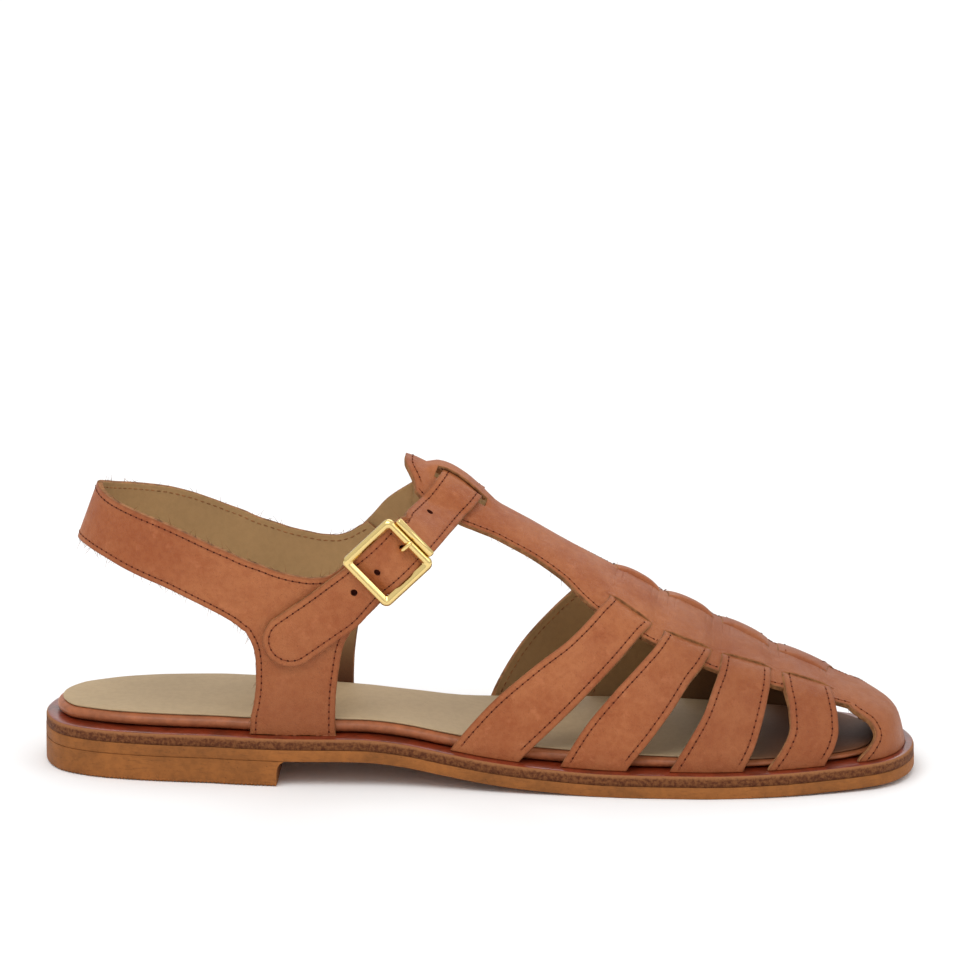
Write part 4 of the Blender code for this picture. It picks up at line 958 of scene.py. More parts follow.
def insole_piece(rim_finish, sock_finish):
    def top(x):
        return upper_foot(x) + INSOLE_THICKNESS * insole_taper(share_of(x))

    def sock_bottom(x):
        return top(x) + CLEARANCE * 0.4

    def inset_rows(rows):
        return [(lambda angle, extra=extra: insole_inset(angle) + extra, level) for extra, level in rows]

    angles = fine_angles(BOARD_STEPS)
    rim = ((0.0016, 0.0), (0.0008, 0.08), (0.0002, 0.25), (0.0, 0.45), (0.0001, 0.62), (0.0005, 0.79),
           (0.0011, 0.91), (0.0018, 0.98), (0.0026, 1.0), (0.0060, 1.0))
    made = rounded_layer("insole_board", angles, inset_rows(rim), upper_foot, top, [rim_finish])
    dress(made, "tan_leather", "insole")
    start = 0.0017
    rim = ((start + 0.0003, 0.0), (start, 0.5), (start + 0.0001, 0.85), (start + 0.0004, 1.0), (0.006, 1.0))
    made = rounded_layer("sock_lining", angles, inset_rows(rim), sock_bottom,
                         lambda x: sock_bottom(x) + SOCK_THICKNESS, [sock_finish])
    # Painted shade: the sock turns dark brown towards the toe
    mark_values(made, "shade", lambda co: 0.85 * ease((share_of(co.x) - 0.73) / 0.13))
    dress(made, "beige_sock", "sock")


# Woven upper


# The bridge over the ankle strap: share of the length, share of its raise
FINE_ARCH = ((0.4360, 0.0), (0.4480, 0.80), (0.4560, 0.96), (0.4620, 1.0), (0.4770, 0.97), (0.4920, 0.75),
             (0.5070, 0.35), (0.5190, 0.0))
fine_arch = smooth(FINE_ARCH, 1)
UPPER_PLACES = sorted(
    [k * 0.1 for k in range(0, 49)]
    + [4.88, 4.94, 4.97, 5.0, 5.006, 5.03, 5.08, 5.15, 5.25, 5.33, 5.42, 5.5, 5.56, 5.62, 5.69, 5.75, 5.83,
       5.90, 5.95, 5.975, 5.994, 6.0, 6.03, 6.07, 6.12]
    + [6.2 + k * 0.1 for k in range(49)]
)
# How much of its raise a strap has at each place across the upper
RAMP = (
    (1.6, 0.0), (2.2, 0.06), (3.0, 0.30), (3.6, 0.62), (4.0, 0.82), (4.3, 0.80), (4.6, 0.68), (4.8, 0.50),
    (4.9, 0.36), (4.96, 0.22), (5.0, 0.10), (5.5, 0.0), (6.0, 0.06), (6.03, 0.50), (6.07, 0.78),
    (6.12, 0.95), (6.3, 1.05), (6.6, 1.0), (7.0, 0.85), (7.4, 0.60), (8.0, 0.26), (8.8, 0.05), (9.4, 0.0),
)
weave_ramp = smooth(RAMP, 1)
LIP = 0.00115               # how far the spine's slots stand over the straps that dive under them
THIN_WALL = 0.0008          # the bridge over the ankle strap is a single leather
PRESS_DEPTH = 0.00020       # how deep the straps' edges press into the spine
FOOT_DROP = CLEARANCE * 0.8     # how far the feet go down towards the welt
HAIR = 0.00018              # between a strap's edge and the margin beside it
MARK_STEP = 0.0004          # between the points that mark cut edges
RUN_STEP = 0.0006           # between the points of a seam or a frayed edge
COLUMNS = range(12)         # numbers of a cross line's twelve places


def turn_table(shares):
    """A cross line as a table of turn and share of the length, rising in turn."""
    edges = [spine(shares[4 + k]) for k, spine in enumerate(spine_turns)]
    turns = list(SIDE_TURNS[:4]) + edges + list(SIDE_TURNS[4:])
    return tuple(zip(turns, shares)), turns


class CrossLine:
    """One line across the upper, from outer foot to inner foot."""

    def __init__(self, kind, shares, shift=0.0, strap=0.0, part=0.5):
        self.kind, self.shares, self.shift, self.strap, self.part = kind, shares, shift, strap, part
        table, self.turns = turn_table(shares)
        self.share_at = smooth(table, 1)

    def place(self, column):
        turn = float(np.interp(column, COLUMNS, self.turns))
        return min(along_of(self.share_at(turn)) + self.shift, TIP), turn


def mixed(first, second, part):
    return tuple(a + (b - a) * part for a, b in zip(first, second))


def t_bar_shares():
    lines = [tuple([share] * 12) for share in T_BAR_LINES]
    end_curve = (0, 0, 0, 0, 0.0150, 0.0015, 0.0, 0.0120, 0, 0, 0, 0)
    for k, fade in ((0, 1.0), (1, 0.7)):
        lines[k] = tuple(s + fade * bow for s, bow in zip(lines[k], end_curve))
    return lines


# Lines across a strap, as shares of its width
STRAP_PARTS = (0.0, 0.022, 0.05, 0.09, 0.13, 0.15, 0.17, 0.21, 0.28, 0.36, 0.44, 0.5, 0.56, 0.64, 0.72,
               0.79, 0.83, 0.85, 0.87, 0.91, 0.95, 0.978, 1.0)
WEB_PARTS = (0.0, 0.22, 0.45, 0.68, 0.86)
CAP_PARTS = (0.0, 0.02, 0.05, 0.1, 0.16, 0.23, 0.3, 0.37, 0.44, 0.51, 0.58, 0.65, 0.71, 0.77, 0.82, 0.87,
             0.91, 0.94, 0.965, 0.985, 0.996, 1.0)
PRESSED = (0.0, 0.15, 0.85, 1.0)    # where the straps below show through the spine, as shares of their width


def cross_lines():
    lines = []
    bar = t_bar_shares()
    for k in range(len(bar) - 1):
        for step in range(3):
            lines.append(CrossLine("web", mixed(bar[k], bar[k + 1], step / 3)))
    behind = bar[-1]
    for number in range(1, 5):
        rear, front = (STRAP_LINES[f"strap {number} {end}"] for end in ("rear", "front"))
        for part in WEB_PARTS:
            if part == 0.0 and number > 1:
                lines.append(CrossLine("web", behind, HAIR))
            else:
                lines.append(CrossLine("web", mixed(behind, rear, part)))
        lines.append(CrossLine("web", rear, -HAIR))
        for part in STRAP_PARTS:
            kind = "strap end" if part == 1.0 else "strap"
            lines.append(CrossLine(kind, mixed(rear, front, part), 0.0, STRAP_RAISE[number - 1], part))
        behind = front
    lines.append(CrossLine("web", behind, HAIR))
    cap = STRAP_LINES["cap rear"]
    for part in (0.3, 0.6):
        lines.append(CrossLine("web", mixed(behind, cap, part)))
    tip = tuple([share_of(TIP)] * 12)
    for part in CAP_PARTS:
        lines.append(CrossLine("cap", mixed(cap, tip, part)))
    return lines


def strap_edge(number, end):
    return CrossLine("edge", STRAP_LINES[f"strap {number} {end}"])


EDGES = [(strap_edge(number, "rear"), strap_edge(number, "front")) for number in range(1, 5)]
CAP_EDGE = CrossLine("cap", STRAP_LINES["cap rear"])
BAR_END = CrossLine("end", t_bar_shares()[0])
LIP_REACH = 0.0012          # how far a lip reaches past the strap's edge
LIP_RUN = 0.0044            # and how soon it's up


def bridge_swell(x, turn):
    """How high the spine stands over the straps that pass below it."""
    high = 0.0
    for k, (rear, front) in enumerate(EDGES):
        behind = x - along_of(rear.share_at(turn))
        ahead = along_of(front.share_at(turn)) - x
        rise = ease((behind + LIP_REACH) / LIP_RUN) * ease((ahead + LIP_REACH) / LIP_RUN)
        high = max(high, STRAP_RAISE[k] * rise)
    return high


def strap_crown(part, inner):
    """Straps are a little rounder towards their edges, most where they lie on the inner margin."""
    if inner:
        return 0.24 + 0.76 * (1.0 - abs(2 * part - 1) ** 2.6)
    return 1.0 - 0.16 * (1 - ease(min(part, 1.0 - part) / 0.06))


def relief(line, column, x, turn):
    """Height over the plain last surface."""
    if 5.0 < column < 6.0:
        inside = min(column - 5.0, 6.0 - column)
        low_side = 0.5 * ease((column - 5.8) / 0.15)
        swell = LIP * bridge_swell(x, turn) * (1.0 - 0.22 * ease(inside / 0.3)) * (1.0 - low_side)
        if line.part in PRESSED and line.strap and column > 5.55:
            swell -= PRESS_DEPTH * ease((column - 5.55) / 0.12)
        return swell + LOOP_RAISE * fine_arch(share_of(x)) * ease(inside / 0.25)
    if line.strap:
        return WEAVE_RAISE * line.strap * weave_ramp(column) * strap_crown(line.part, column > 5.5)
    return 0.0


def upper_grid():
    lines = cross_lines()
    outside, inside = [], []
    for line in lines:
        row_out, row_in = [], []
        for column in UPPER_PLACES:
            x, turn = line.place(column)
            base, normal = last_point(x, turn), last_normal(x, turn)
            raised = relief(line, column, x, turn)
            if abs(turn) > FOOT_TURN:
                normal = levelled(normal)
            sunk = WALL
            if line.kind == "web" and 5.0 < column < 6.0 and fine_arch(share_of(x)) > 0:
                arched = fine_arch(share_of(x)) * ease(min(column - 5.0, 6.0 - column) / 0.25)
                sunk = WALL + (THIN_WALL - WALL) * ease(arched * 3) - LOOP_RAISE * arched
            under = base - normal * sunk
            out = base + normal * raised
            row_out.append(np.array([out[0], out[1], max(out[2], upper_foot(out[0]) - FOOT_DROP)]))
            if abs(turn) > FOOT_TURN or under[2] < upper_foot(under[0]):
                under = np.array([under[0], under[1], upper_foot(under[0]) - FOOT_DROP])
            row_in.append(under)
        row_out[0][2] -= FOOT_DROP
        row_out[-1][2] -= FOOT_DROP
        outside.append(row_out)
        inside.append(row_in)
    return lines, outside, inside


def upper_present(lines):
    low, high = LOOP_SPAN
    present = []
    for i in range(len(lines) - 1):
        kind, following = lines[i].kind, lines[i + 1].kind
        whole = (kind == "strap" and following in ("strap", "strap end")) or kind == following == "cap"
        in_loop = kind == "web" and lines[i].shares[5] >= low and lines[i + 1].shares[5] <= high
        row = []
        for j in range(len(UPPER_PLACES) - 1):
            a, b = UPPER_PLACES[j], UPPER_PLACES[j + 1]
            spine = a >= OUTER_EDGE - SAME and b <= INNER_EDGE + SAME
            slots = (OUTER_SLOT - SAME <= a and b <= OUTER_BRIDGE + SAME) or (
                INNER_BRIDGE - SAME <= a and b <= INNER_SLOT + SAME)
            row.append((spine or whole) and not (slots and in_loop))
        present.append(row)
    return present


def line_run(line, turns, raised):
    """Points and normals along a cross line, on the straps' raised surface."""
    run = []
    for turn in turns:
        column = float(np.interp(turn, line.turns, COLUMNS))
        x = along_of(line.share_at(turn))
        normal = last_normal(x, turn)
        high = WEAVE_RAISE * raised * max(weave_ramp(column), 0.0)
        run.append((last_point(x, turn) + normal * high, normal))
    return run


def edge_runs():
    """Cut edges of the upper: the line, its turns and the share of the strap's raise."""
    runs = []
    for raised, edges in zip(STRAP_RAISE, EDGES):
        for line in edges:
            runs.append((line, np.linspace(-1.0, line.turns[5] - 0.01, 70), raised))
            runs.append((line, np.linspace(line.turns[6] + 0.01, 1.0, 70), raised))
    runs.append((CAP_EDGE, np.linspace(-1.0, CAP_EDGE.turns[4], 60), 0.0))
    runs.append((CAP_EDGE, np.linspace(CAP_EDGE.turns[7], 1.0, 60), 0.0))
    return runs


def margin_runs():
    """Side edges of the spine between the straps, and round the T-bar's end."""
    runs = []
    for side, place in ((-1, 4), (1, 7)):
        start = T_BAR_LINES[0] + (0.0150 if side < 0 else 0.0120)
        for number in range(5):
            if number:
                start = STRAP_LINES[f"strap {number} front"][place]
            end = STRAP_LINES[f"strap {number + 1} rear" if number < 4 else "cap rear"][place]
            if end > start:
                runs.append((side, start, end))
    return runs


def margin_run(side, start, end):
    """Points and normals along one of the spine's side edges."""
    run = []
    for share in np.linspace(start, end, 40):
        x, turn = along_of(share), spine_turns[0 if side < 0 else 3](share)
        run.append((last_point(x, turn), last_normal(x, turn)))
    return run


def upper_marks():
    """Points along every cut edge of the upper."""
    marks = []
    for line, turns, raised in edge_runs():
        fine = np.interp(np.linspace(0, 1, 260), np.linspace(0, 1, len(turns)), turns)
        marks += [point for point, _ in line_run(line, fine, raised)]
    for side, start, end in margin_runs():
        spine = spine_turns[0 if side < 0 else 3]
        for share in np.linspace(start, end, max(int((end - start) * LENGTH / MARK_STEP), 3)):
            marks.append(last_point(along_of(share), spine(share)))
    end_turns = np.linspace(BAR_END.turns[4], BAR_END.turns[7], 90)
    return marks + [point for point, _ in line_run(BAR_END, end_turns, 0.0)]


def upper_piece(finishes):
    lines, outside, inside = upper_grid()

    def raw(i, j):
        """Cut edges that lie on the leather below: the straps' sides on the margins and the slots' lips."""
        a, b = UPPER_PLACES[j], UPPER_PLACES[j + 1]
        side = (4.0 <= a and b <= 5.0) or (6.0 <= a and b <= 7.0)
        into_strap = lines[i].kind == "web" and lines[i + 1].kind == "strap"
        out_of_strap = lines[i].kind == "strap end"
        lip = (a == 5.0 or b == 6.0) and bridge_swell(*lines[i].place(a)) > 0.15
        return lip or (side and (into_strap or out_of_strap))

    made = wall_mesh("woven_upper", outside, inside, upper_present(lines),
                     [finishes["leather"], finishes["lining"], finishes["raw edge"]], raw)
    mark_distance(made, "edge", upper_marks())
    # Painted shade: darker towards the toe, on the leather and most on the lining inside
    mark_values(made, "shade", lambda co: 0.75 * ease((share_of(co.x) - 0.66) / 0.12))
    soften(made, 0.00022)
    dress(made, "tan_leather", "upper")


# Quarter


QUARTER_STEPS = 6           # fine columns for each one in the tables
PILLAR_ROWS = 42
BAND_PARTS = (0.0, 0.02, 0.05, 0.1, 0.17, 0.25, 0.33, 0.42, 0.5, 0.58, 0.67, 0.75, 0.83, 0.9, 0.95, 0.98,
              1.0)


def quarter_columns():
    """Columns of the heel band, outer tongue to inner tongue: low turn, low height, top turn, top height."""
    def half(side):
        rows = []
        for turn, low, top, drop in HEEL_STRAP:
            rows.append((turn, low * COLLAR_HEIGHT, turn, (top - drop * (side > 0)) * COLLAR_HEIGHT))
        for low_along, low_up, top_along, top_up, drop in FORWARD_LINES:
            rows.append((side_turn(along_of(low_along)), low_up * COLLAR_HEIGHT,
                         side_turn(along_of(top_along)),
                         (top_up - drop * (side > 0)) * COLLAR_HEIGHT))
        keyed = [(float(k),) + row for k, row in enumerate(rows)]
        curves = [smooth(keyed, k) for k in range(1, 5)]
        out = []
        for step in range((len(rows) - 1) * QUARTER_STEPS + 1):
            place = step / QUARTER_STEPS
            low_turn, low_z, top_turn, top_z = (curve(place) for curve in curves)
            out.append((side * low_turn, low_z, side * top_turn, top_z))
        return out

    outer, inner = half(-1), half(1)
    return list(reversed(outer)) + inner[1:], len(outer) - 1


def quarter_grid():
    band, middle = quarter_columns()
    first, last = ((len(HEEL_STRAP) + k) * QUARTER_STEPS for k in PILLAR_COLUMNS)
    spans = ((middle - last, middle - first), (middle + first, middle + last))
    pillar = sorted((height, rear, front) for height, rear, front in PILLAR)
    rear_at, front_at = smooth(pillar, 1), smooth(pillar, 2)
    heights = [pillar[-1][0] * k / PILLAR_ROWS for k in range(PILLAR_ROWS + 1)]
    grid = []
    count = len(band)
    for height in heights:
        line = [None] * count
        for start, end in spans:
            for k in range(start, end + 1):
                part = (k - start) / (end - start)
                outer = start < middle
                rear, front = rear_at(height), front_at(height)
                share = front + (rear - front) * part
                if not outer:
                    share = rear + (front - rear) * part + INNER_PILLAR_SHIFT
                x = along_of(share)
                line[k] = ((-1 if outer else 1) * side_turn(x), max(height * COLLAR_HEIGHT, upper_foot(x)))
        grid.append(line)
    for part in BAND_PARTS:
        grid.append([(lt + (tt - lt) * part, lz + (tz - lz) * part) for lt, lz, tt, tz in band])
    return grid, spans, len(heights), count


def quarter_piece(finishes):
    grid, spans, pillar_rows, count = quarter_grid()
    outside, inside = [], []
    nothing = np.zeros(3)
    for line in grid:
        out_row, in_row = [], []
        for place in line:
            if place is None:
                out_row.append(nothing)
                in_row.append(nothing)
                continue
            turn, z = place
            point, normal = rear_point(turn, z), rear_normal(turn, z)
            if z <= upper_foot(point[0]) + SAME:
                normal = levelled(normal)
                point[2] -= FOOT_DROP
            out_row.append(point)
            in_row.append(point - normal * WALL)
        outside.append(out_row)
        inside.append(in_row)
    present = [[i >= pillar_rows or any(start <= j < end for start, end in spans) for j in range(count - 1)]
               for i in range(len(grid) - 1)]
    made = wall_mesh("heel_quarter", outside, inside, present,
                     [finishes["leather"], finishes["lining"], finishes["raw edge"]])
    marks = [point for run in quarter_edges() for point, _ in fine_run(run, MARK_STEP)]
    mark_distance(made, "edge", marks)
    # Painted shade: darker low on the pillars, on the leather and the lining inside
    mark_values(made, "shade", lambda co: 0.9 * ease((0.052 - co.z) / 0.034) * ease((co.x + 0.085) / 0.02))
    soften(made, 0.00024)
    dress(made, "tan_leather", "quarter")


def quarter_edges():
    """Edges of the quarter as point and normal: top, under the heel strap, and each pillar's front."""
    grid, spans, pillar_rows, count = quarter_grid()

    def spot(place):
        return rear_point(*place), rear_normal(*place)

    low_row, top_row = grid[pillar_rows], grid[-1]
    (outer_start, outer_end), (inner_start, inner_end) = spans
    runs = [[spot(place) for place in top_row]]
    under = [spot(grid[i][outer_end]) for i in range(pillar_rows)]
    under += [spot(low_row[j]) for j in range(outer_end, inner_start + 1)]
    under += [spot(grid[i][inner_start]) for i in reversed(range(pillar_rows))]
    runs.append(under)
    outer_front = [spot(grid[i][outer_start]) for i in range(pillar_rows)]
    runs.append(outer_front + [spot(low_row[j]) for j in range(outer_start, -1, -1)])
    inner_front = [spot(grid[i][inner_end]) for i in range(pillar_rows)]
    runs.append(inner_front + [spot(low_row[j]) for j in range(inner_end, count)])
    return runs


def fine_run(run, step):
    """The same run with even steps."""
    points = np.array([p for p, _ in run])
    normals = np.array([n for _, n in run])
    travelled = lengths_along(points)
    count = max(int(travelled[-1] / step), 2)
    at = np.linspace(0.0, travelled[-1], count)
    out = []
    for s in at:
        point = np.array([np.interp(s, travelled, points[:, k]) for k in range(3)])
        normal = np.array([np.interp(s, travelled, normals[:, k]) for k in range(3)])
        out.append((point, unit(normal)))
    return out


# Ankle strap and buckle


HOLE_TOOL = 0.008           # length of the tool that cuts a hole
HOLE_DEPTH = 0.0012         # the punched holes stop short: their dark floor is painted shade, standing for the leather below
HOLE_RADIUS = HOLE_DIAMETER / 2 * 0.8   # leather closes a little round a punched hole
ROD_SIDES = 14
POST_INSET = 0.0013         # the centre bar's posts stand this far inside the frame's outline


def strap_grid():
    surface = strap_surface()
    rows, columns = surface.shape[:2]
    normals = np.zeros_like(surface)
    for i in range(rows):
        for j in range(columns):
            run_u = surface[min(i + 1, rows - 1), j] - surface[max(i - 1, 0), j]
            run_v = surface[i, min(j + 1, columns - 1)] - surface[i, max(j - 1, 0)]
            normal = np.cross(run_v, run_u)
            normals[i, j] = unit(normal)
    return surface, normals


def strap_piece(finishes):
    surface, normals = strap_grid()
    rows, columns = surface.shape[:2]
    half = STRAP_THICKNESS / 2
    present = [[True] * (columns - 1) for _ in range(rows - 1)]
    outside = surface + normals * half
    made = wall_mesh("buckle_strap", outside, surface - normals * half, present,
                     [finishes["leather"], finishes["lining"], finishes["raw edge"], finishes["needle"]])
    flat = surface.reshape(-1, 3)
    for k, (spot, direction) in enumerate(hole_spots()):
        beside = flat - spot
        beside = beside - np.outer(beside @ direction, direction)
        far = np.abs((flat - spot) @ direction)
        nearest = int(np.argmin(np.linalg.norm(beside, axis=1) + 0.1 * far))
        on_axis = spot + direction * float(np.dot(flat[nearest] - spot, direction))
        facing = normals.reshape(-1, 3)[nearest]
        cut_hole(made, k, on_axis + facing * (half + HOLE_TOOL / 2 - HOLE_DEPTH), facing)
    bpy.context.view_layer.update()
    cut = bpy.data.meshes.new_from_object(made.evaluated_get(bpy.context.evaluated_depsgraph_get()))
    made.modifiers.clear()
    made.data = cut
    for tool in [o for o in bpy.data.objects if o.name.startswith("hole_cutter")]:
        bpy.data.objects.remove(tool, do_unlink=True)
    marks = [p for run in strap_edge_runs() for p, _ in fine_run(run, MARK_STEP)]
    mark_distance(made, "edge", marks)
    # Painted shade: darker on the strap's lower part
    mark_values(made, "shade", lambda co: 0.42 * ease((0.062 - co.z) / 0.03))
    soften(made, 0.00022)
    dress(made, "tan_leather", "ankle_strap")


def strap_edge_runs():
    """The strap's rim, one run from the inner end round the free tip and back."""
    surface, normals = strap_grid()
    half = STRAP_THICKNESS / 2
    rows, columns = surface.shape[:2]
    places = [(i, 0) for i in range(rows - 1, -1, -1)] + [(0, j) for j in range(1, columns - 1)]
    places += [(i, -1) for i in range(rows)]
    return [[(surface[place] + normals[place] * half, normals[place]) for place in places]]


def cut_hole(target, number, spot, direction):
    work = bmesh.new()
    bmesh.ops.create_cone(work, cap_ends=True, segments=20, radius1=HOLE_RADIUS, radius2=HOLE_RADIUS,
                          depth=HOLE_TOOL)
    # Slot 3 takes the needle holes' dark finish: painted shade on the hole's walls and floor
    for face in work.faces:
        face.material_index = 3
    mesh = bpy.data.meshes.new(f"hole_cutter_{number}")
    work.to_mesh(mesh)
    work.free()
    for finish in target.data.materials:
        mesh.materials.append(finish)
    cutter = bpy.data.objects.new(f"hole_cutter_{number}", mesh)
    cutter.rotation_mode = "QUATERNION"
    cutter.rotation_quaternion = Vector(direction).to_track_quat("Z", "Y")
    cutter.location = Vector(spot)
    cutter.hide_render = True
    bpy.context.scene.collection.objects.link(cutter)
    cut = target.modifiers.new(f"hole {number}", "BOOLEAN")
    cut.operation = "DIFFERENCE"
    cut.object = cutter


def buckle_pieces(finish):
    """Frame with ridged sides, its centre bar, the roller and the prong."""
    half_u, half_v = BUCKLE_LENGTH / 2, BUCKLE_WIDTH / 2
    low, high = -BUCKLE_THICKNESS / 2, BUCKLE_THICKNESS / 2
    section = (
        # inset, height, corner radius
        (0.0004, low, 0.0020), (0.0, low + 0.0004, 0.0022), (0.0, high - 0.0010, 0.0022),
        (0.0002, high - 0.0005, 0.0021), (0.0008, high - 0.0001, 0.0017), (0.0012, high, 0.0014),
        (0.0016, high - 0.0001, 0.0010), (0.0022, high - 0.0007, 0.0006), (0.0026, high - 0.0011, 0.0005),
        (BUCKLE_BAR, low + 0.0004, 0.0005), (BUCKLE_BAR - 0.0003, low, 0.0006),
    )
    steps = 7
    points = []
    for inset, level, radius in section:
        for u, v in rounded_rectangle(half_u - inset, half_v - inset, radius, steps):
            points.append(in_frame(u, v, level))
    count = 4 * (steps + 1)
    faces = ring_faces(len(section), count)
    for k in range(count):
        after = (k + 1) % count
        faces.append(((len(section) - 1) * count + k, (len(section) - 1) * count + after, after, k))
    made = finish_mesh("gold_frame", points, faces, [finish], merge=1e-6)
    made.data.set_sharp_from_angle(angle=math.radians(38.0))
    dress(made, "gold", "buckle_frame")
    post = half_v - POST_INSET
    rods = [round_rod([(0.0, -post, low - CENTRE_BAR / 2), (0.0, post, low - CENTRE_BAR / 2)],
                      CENTRE_BAR / 2, ROD_SIDES)]
    for v in (-post, post):
        corners = [(0.0, v, low - CENTRE_BAR), (0.0, v, low + 0.0004)]
        rods.append(round_rod(corners, CENTRE_BAR / 2, ROD_SIDES))
    made = joined_rods("centre_bar", rods, finish)
    dress(made, "gold")
    radius = ROLLER_DIAMETER / 2
    u = half_u + radius + CLEARANCE * 0.6
    ends = ((-0.5, 0.55), (-0.485, 0.85), (-0.47, 1.0), (0.47, 1.0), (0.485, 0.85), (0.5, 0.55))
    rod = round_rod([(u, v * ROLLER_LENGTH, 0.0) for v, _ in ends], radius, 24, [r for _, r in ends])
    made = joined_rods("gold_roller", [rod], finish)
    made.data.set_sharp_from_angle(angle=math.radians(50.0))
    dress(made, "gold", "buckle_roller")
    made = joined_rods("gold_prong", [prong_rod()], finish)
    dress(made, "gold", "buckle_prong")


def round_rod(route, radius, sides, shares=None):
    """Points and faces of a rod along a route given in the frame's own directions."""
    route = np.array(route, float)
    points = []
    shares = shares or [1.0] * len(route)
    for k, spot in enumerate(route):
        run = route[min(k + 1, len(route) - 1)] - route[max(k - 1, 0)]
        run = unit(run)
        first = np.cross(run, (0.0, 1.0, 0.0) if abs(run[1]) < 0.9 else (1.0, 0.0, 0.0))
        first = unit(first)
        second = np.cross(run, first)
        for s in range(sides):
            angle = 2 * math.pi * s / sides
            u, v, w = spot + (first * math.cos(angle) + second * math.sin(angle)) * radius * shares[k]
            points.append(in_frame(u, v, w))
    faces = ring_faces(len(route), sides) + [tuple(range(sides)),
                                             tuple(range((len(route) - 1) * sides, len(route) * sides))]
    return points, faces


def joined_rods(name, rods, finish):
    points, faces = [], []
    for rod_points, rod_faces in rods:
        start = len(points)
        points += rod_points
        faces += [tuple(start + k for k in face) for face in rod_faces]
    made = finish_mesh(name, points, faces, [finish], merge=1e-7)
    made.data.set_sharp_from_angle(angle=math.radians(50.0))
    return made


def prong_rod():
    half = PRONG_WIDTH / 2
    place = prong_place()
    drop = STRAP_THICKNESS / 2 + CLEARANCE + half
    start = CENTRE_BAR / 2 + CLEARANCE
    top = BUCKLE_THICKNESS / 2 + half * 0.9
    corners = [
        (start, strap_level(start) - drop), (place - 0.0010, strap_level(place - 0.0010) - drop),
        (place - 0.0002, strap_level(place) - drop * 0.5), (place, top - 0.0016),
        (place + 0.0003, top - 0.0007), (place + 0.0011, top - 0.0001), (place + 0.0022, top),
        (BUCKLE_LENGTH / 2 - 0.0004, top), (BUCKLE_LENGTH / 2 + 0.0001, top - 0.0001),
    ]
    shares = [1.0] * 7 + [0.92, 0.45]
    return round_rod([(u, 0.0, w) for u, w in corners], half * 0.92, 16, shares)


# Seams


FIBRE_WIDTH = 0.00016
SEARCH_LIFT = 0.0004        # the seam's points look for the leather from this far off it
SEAM_ENDS = 0.975           # turn at which the upper's seams stop, above the welt


def surface_tree(name):
    """Search tree over a piece's own surface."""
    mesh = bpy.data.objects[name].data
    return BVHTree.FromPolygons([v.co.copy() for v in mesh.vertices],
                                [tuple(p.vertices) for p in mesh.polygons])


def seam(tree, run, margin, pitch, inside=0.0, trim=0.0008):
    """Stitches along a run of edge points, moved into the leather: rows for thread and needle's holes."""
    fine = fine_run(run, RUN_STEP)
    best = None
    for sign in (1.0, -1.0):
        spots, miss = [], 0.0
        for k, (point, normal) in enumerate(fine):
            along = fine[min(k + 2, len(fine) - 1)][0] - fine[max(k - 2, 0)][0]
            along = unit(along)
            side = np.cross(normal, along)
            lift = -(inside + SEARCH_LIFT) if inside else SEARCH_LIFT
            spot = point + unit(side) * margin * sign + normal * lift
            place, facing, _, gap = tree.find_nearest(Vector(spot))
            miss += min(gap, margin)
            spots.append((np.array(place), np.array(facing), gap))
        if best is None or miss < best[0]:
            best = (miss, spots)
    spots = best[1]
    places = np.array([s[0] for s in spots])
    travelled = lengths_along(places)
    thread, needle = [], []
    for step, s in enumerate(np.arange(pitch * 0.3, travelled[-1] - pitch * 0.2, pitch / 2)):
        k = min(int(np.searchsorted(travelled, s)), len(spots) - 1)
        if spots[k][2] > trim:
            continue
        place, ahead, behind = (
            np.array([np.interp(s + shift, travelled, places[:, axis]) for axis in range(3)])
            for shift in (0.0, pitch / 3, -pitch / 3)
        )
        length = np.linalg.norm(ahead - behind)
        if length > SAME:
            (needle if step % 2 else thread).append((place, (ahead - behind) / length, spots[k][1]))
    return thread, needle


def upper_seams():
    """Edge runs of the upper, each with its share of the margin and whether it shows inside too."""
    runs = []
    for line, turns, raised in edge_runs():
        low, high = max(turns[0], -SEAM_ENDS), min(turns[-1], SEAM_ENDS)
        runs.append((line_run(line, np.linspace(low, high, 90), raised), 1.0, low > 0))
    runs += [(margin_run(*place), 0.62, False) for place in margin_runs()]
    end_turns = np.linspace(BAR_END.turns[4], BAR_END.turns[7], 60)
    runs.append((line_run(BAR_END, end_turns, 0.0)[4:-4], 1.1, False))
    return runs


def all_stitches(seams):
    """Rows for the thread and for the needle's holes of every seam."""
    quarter = [(run, 0.85 if k < 2 else 0.95, k < 2) for k, run in enumerate(quarter_edges())]
    strap = [(run, 0.92, False) for run in strap_edge_runs()]
    thread, needle, lining = [], [], []
    for name, runs in (("woven_upper", upper_seams()), ("heel_quarter", quarter), ("buckle_strap", strap)):
        tree = surface_tree(name)
        for run, margin, inside in runs:
            for depth in ((0.0, WALL) if inside else (0.0,)):
                rows = seam(tree, run, seams.margin * margin, seams.pitch, depth)
                (lining if depth else thread).extend(rows[0])
                needle += [] if depth else rows[1]
    return thread, needle, lining


def point_cloud(name, rows):
    """Loose points that carry a direction and a normal for each instance."""
    mesh = bpy.data.meshes.new(name)
    mesh.from_pydata([tuple(row[0]) for row in rows], [], [])
    for key, column in (("along", 1), ("facing", 2)):
        layer = mesh.attributes.new(key, "FLOAT_VECTOR", "POINT")
        for k, row in enumerate(rows):
            layer.data[k].vector = tuple(row[column])
    made = bpy.data.objects.new(name, mesh)
    bpy.context.scene.collection.objects.link(made)
    return made


def wire(tree, kind, inputs=None, **settings):
    """Adds a node: values go to its sockets by name or number, sockets are linked."""
    node = tree.nodes.new(kind)
    for key, value in settings.items():
        setattr(node, key, value)
    for key, value in (inputs or {}).items():
        socket = node.inputs[key]
        if isinstance(value, bpy.types.NodeSocket):
            tree.links.new(value, socket)
        else:
            socket.default_value = value
    return node


